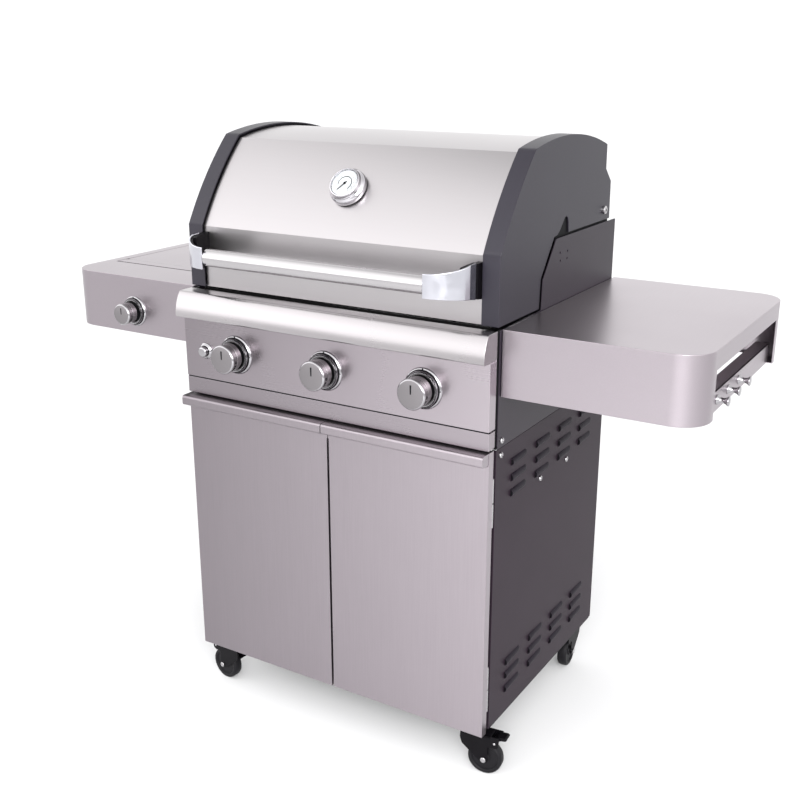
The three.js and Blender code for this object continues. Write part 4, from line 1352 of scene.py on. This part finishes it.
# ---------------------------------------------------------------- side burner
cover_x = (WELL["x"][0] + 2.5, WELL["x"][1] - 2.5)
cover_y = (WELL["y"][0] + 4.2, WELL["y"][1] - 2.5)
cover_plate = block(cover_x, cover_y, (SHELF["top"] - SHEET, SHELF["top"]))
cover_fold = block(
    (cover_x[0] + 6, cover_x[1] - 6),
    (cover_y[0] + 6, cover_y[0] + 8),
    (SHELF["top"] - 5, SHELF["top"] - 1),
)
piece(
    "side_cover_lid",
    joined(cover_plate, cover_fold),
    steel_deep,
    "stainless",
    "side_burner_cover",
    stands_for=("side_burner_cover",),
    edge=0.5,
)
# Black strips in the gaps in front of and beside the side burner's cover: painted shade in the gaps.
front_gap_shade = block(
    (WELL["x"][0] + 0.5, WELL["x"][1] - 0.5),
    (WELL["y"][0] + 0.05, cover_y[0] - 0.05),
    (914, 919.8),
)
left_gap_shade = block((WELL["x"][0] + 0.05, cover_x[0] - 0.9), (WELL["y"][0] + 3, WELL["y"][1] - 3), (914, 918))
piece("side_cover_gap_shade", joined(front_gap_shade, left_gap_shade), ink, "black_mark", "cart")
crease = block((cover_x[0] + 3, cover_x[1] - 3), (180.0, 181.2), (SHELF["top"] - 0.5, SHELF["top"] + 0.12))
piece("side_cover_crease", crease, plain_steel, "stainless", "side_burner_cover")
# A black triangle on the cover where it is notched: painted shade in the notch.
notch_shade = prism([(-688.5, 176), (-680, 180.6), (-687, 184)], "z", SHELF["top"] - 0.5, SHELF["top"] + 0.2)
piece("side_cover_notch_shade", notch_shade, ink, "black_mark", "side_burner_cover")
finish_node("side_burner_bowl", enamel)
finish_node("side_burner_head", plain_steel)
finish_node("side_burner_grate", grate_iron)

# ---------------------------------------------------------------- firebox and gas train
finish_node("firebox", enamel)
finish_node("grease_tray", plain_steel)
finish_node("gas_manifold", brass)
finish_node("warming_rack", chrome)
for number in (1, 2, 3):
    finish_node(f"burner_tube_{number}", steel_level)
    finish_node(f"emitter_{number}", plain_steel)
    finish_node(f"cooking_grate_{number}", grate_iron)

# ---------------------------------------------------------------- casters
AXLE_DROP = WHEEL["radius"] - CASTER_TOP
TRAIL = WHEEL["trail"]
BRAKE_PIVOT = (TRAIL + 22, -26.0)


def caster(name, x, y, turn, brake):
    seat = Matrix.Translation((x, y, CASTER_TOP)) @ Matrix.Rotation(math.radians(turn), 4, "Z")
    cheek = filleted(
        [
            (-23, -12),
            (TRAIL + 32, -12),
            (TRAIL + 30, -34),
            (TRAIL + 22, -38),
            (TRAIL + 7, -36),
            (TRAIL + 9, AXLE_DROP),
            (TRAIL + 7, AXLE_DROP - 8),
            (TRAIL - 7, AXLE_DROP - 8),
            (-10, -50),
            (-20, -42),
            (-24, -28),
        ],
        (2, 3, 4, 4, 9, 6, 6, 6, 14, 8, 6),
    )
    crown = block((-22, TRAIL + 14), (-15.5, 15.5), (-17, -12))
    cheeks = [prism(cheek, "y", *ys) for ys in ((-15.5, -13), (13, 15.5))]
    race = turned([(0, -13), (21, -13), (23, -11), (23, -6), (20, -3.6), (0, -3.6)], 40)
    parts = joined(*[moved(s, seat) for s in (race, crown, *cheeks)])
    piece(
        f"fork_{name}_frame",
        parts,
        nylon,
        "caster_plastic",
        f"fork_{name}",
        stands_for=(f"caster_fork_{name}",),
        edge=0.8,
    )
    axle = rod("y", 3.6, (-19, 19), (TRAIL, AXLE_DROP), 20)
    heads = [rod("y", 5.6, ys, (TRAIL, AXLE_DROP), 24) for ys in ((-19.5, -15.6), (15.6, 19.5))]
    piece(f"fork_{name}_axle", moved(joined(axle, *heads), seat), bolt_zinc, "chrome", f"fork_{name}")
    half, radius = WHEEL["half"], WHEEL["radius"]
    wheel = turned(
        [
            (4.6, -half),
            (9.5, -half),
            (10.4, -half + 0.8),
            (11.4, -half + 3),
            (26.4, -half + 3.4),
            (27.6, -half + 1.0),
            (29.0, -half + 0.2),
            (32.5, -half + 0.4),
            (34.8, -half + 1.8),
            (35.9, -half + 5.0),
            (radius, 0),
            (35.9, half - 5.0),
            (34.8, half - 1.8),
            (32.5, half - 0.4),
            (29.0, half - 0.2),
            (27.6, half - 1.0),
            (26.4, half - 3.4),
            (11.4, half - 3),
            (10.4, half - 0.8),
            (9.5, half),
            (4.6, half),
            (4.6, -half),
        ],
        64,
    )
    upright = Matrix.Translation((TRAIL, 0, AXLE_DROP)) @ Matrix.Rotation(math.pi / 2, 4, "X")
    piece(
        f"wheel_{name}_tyre",
        moved(wheel, seat @ upright),
        tread,
        "wheel_rubber",
        f"wheel_{name}",
        stands_for=(f"caster_wheel_{name}",),
        sharp=50,
    )
    if not brake:
        return
    tongue = filleted(
        [
            (TRAIL + 17, -24),
            (TRAIL + 17, -33),
            (TRAIL + 21, -33),
            (TRAIL + 26, -24),
            (TRAIL + 34, -19),
            (TRAIL + 43, -18),
            (TRAIL + 47, -14.5),
            (TRAIL + 43, -11),
            (TRAIL + 28, -12),
            (TRAIL + 19, -18.5),
        ],
        (2, 1, 1, 4, 4, 3, 3, 3, 4, 3),
    )
    lever = prism(tongue, "y", -11, 11)
    piece(
        f"brake_{name}_pedal",
        moved(lever, seat),
        nylon,
        "caster_plastic",
        f"brake_{name}",
        stands_for=(f"brake_lever_{name}",),
        edge=2.6,
    )
    rivet = rod("y", 2.6, (-17.2, 17.2), BRAKE_PIVOT, 20)
    piece(f"brake_{name}_rivet", moved(rivet, seat), bolt_zinc, "chrome", f"brake_{name}")


for caster_name, (cx, cy, turn, brake) in CASTERS.items():
    caster(caster_name, cx, cy, turn, brake)
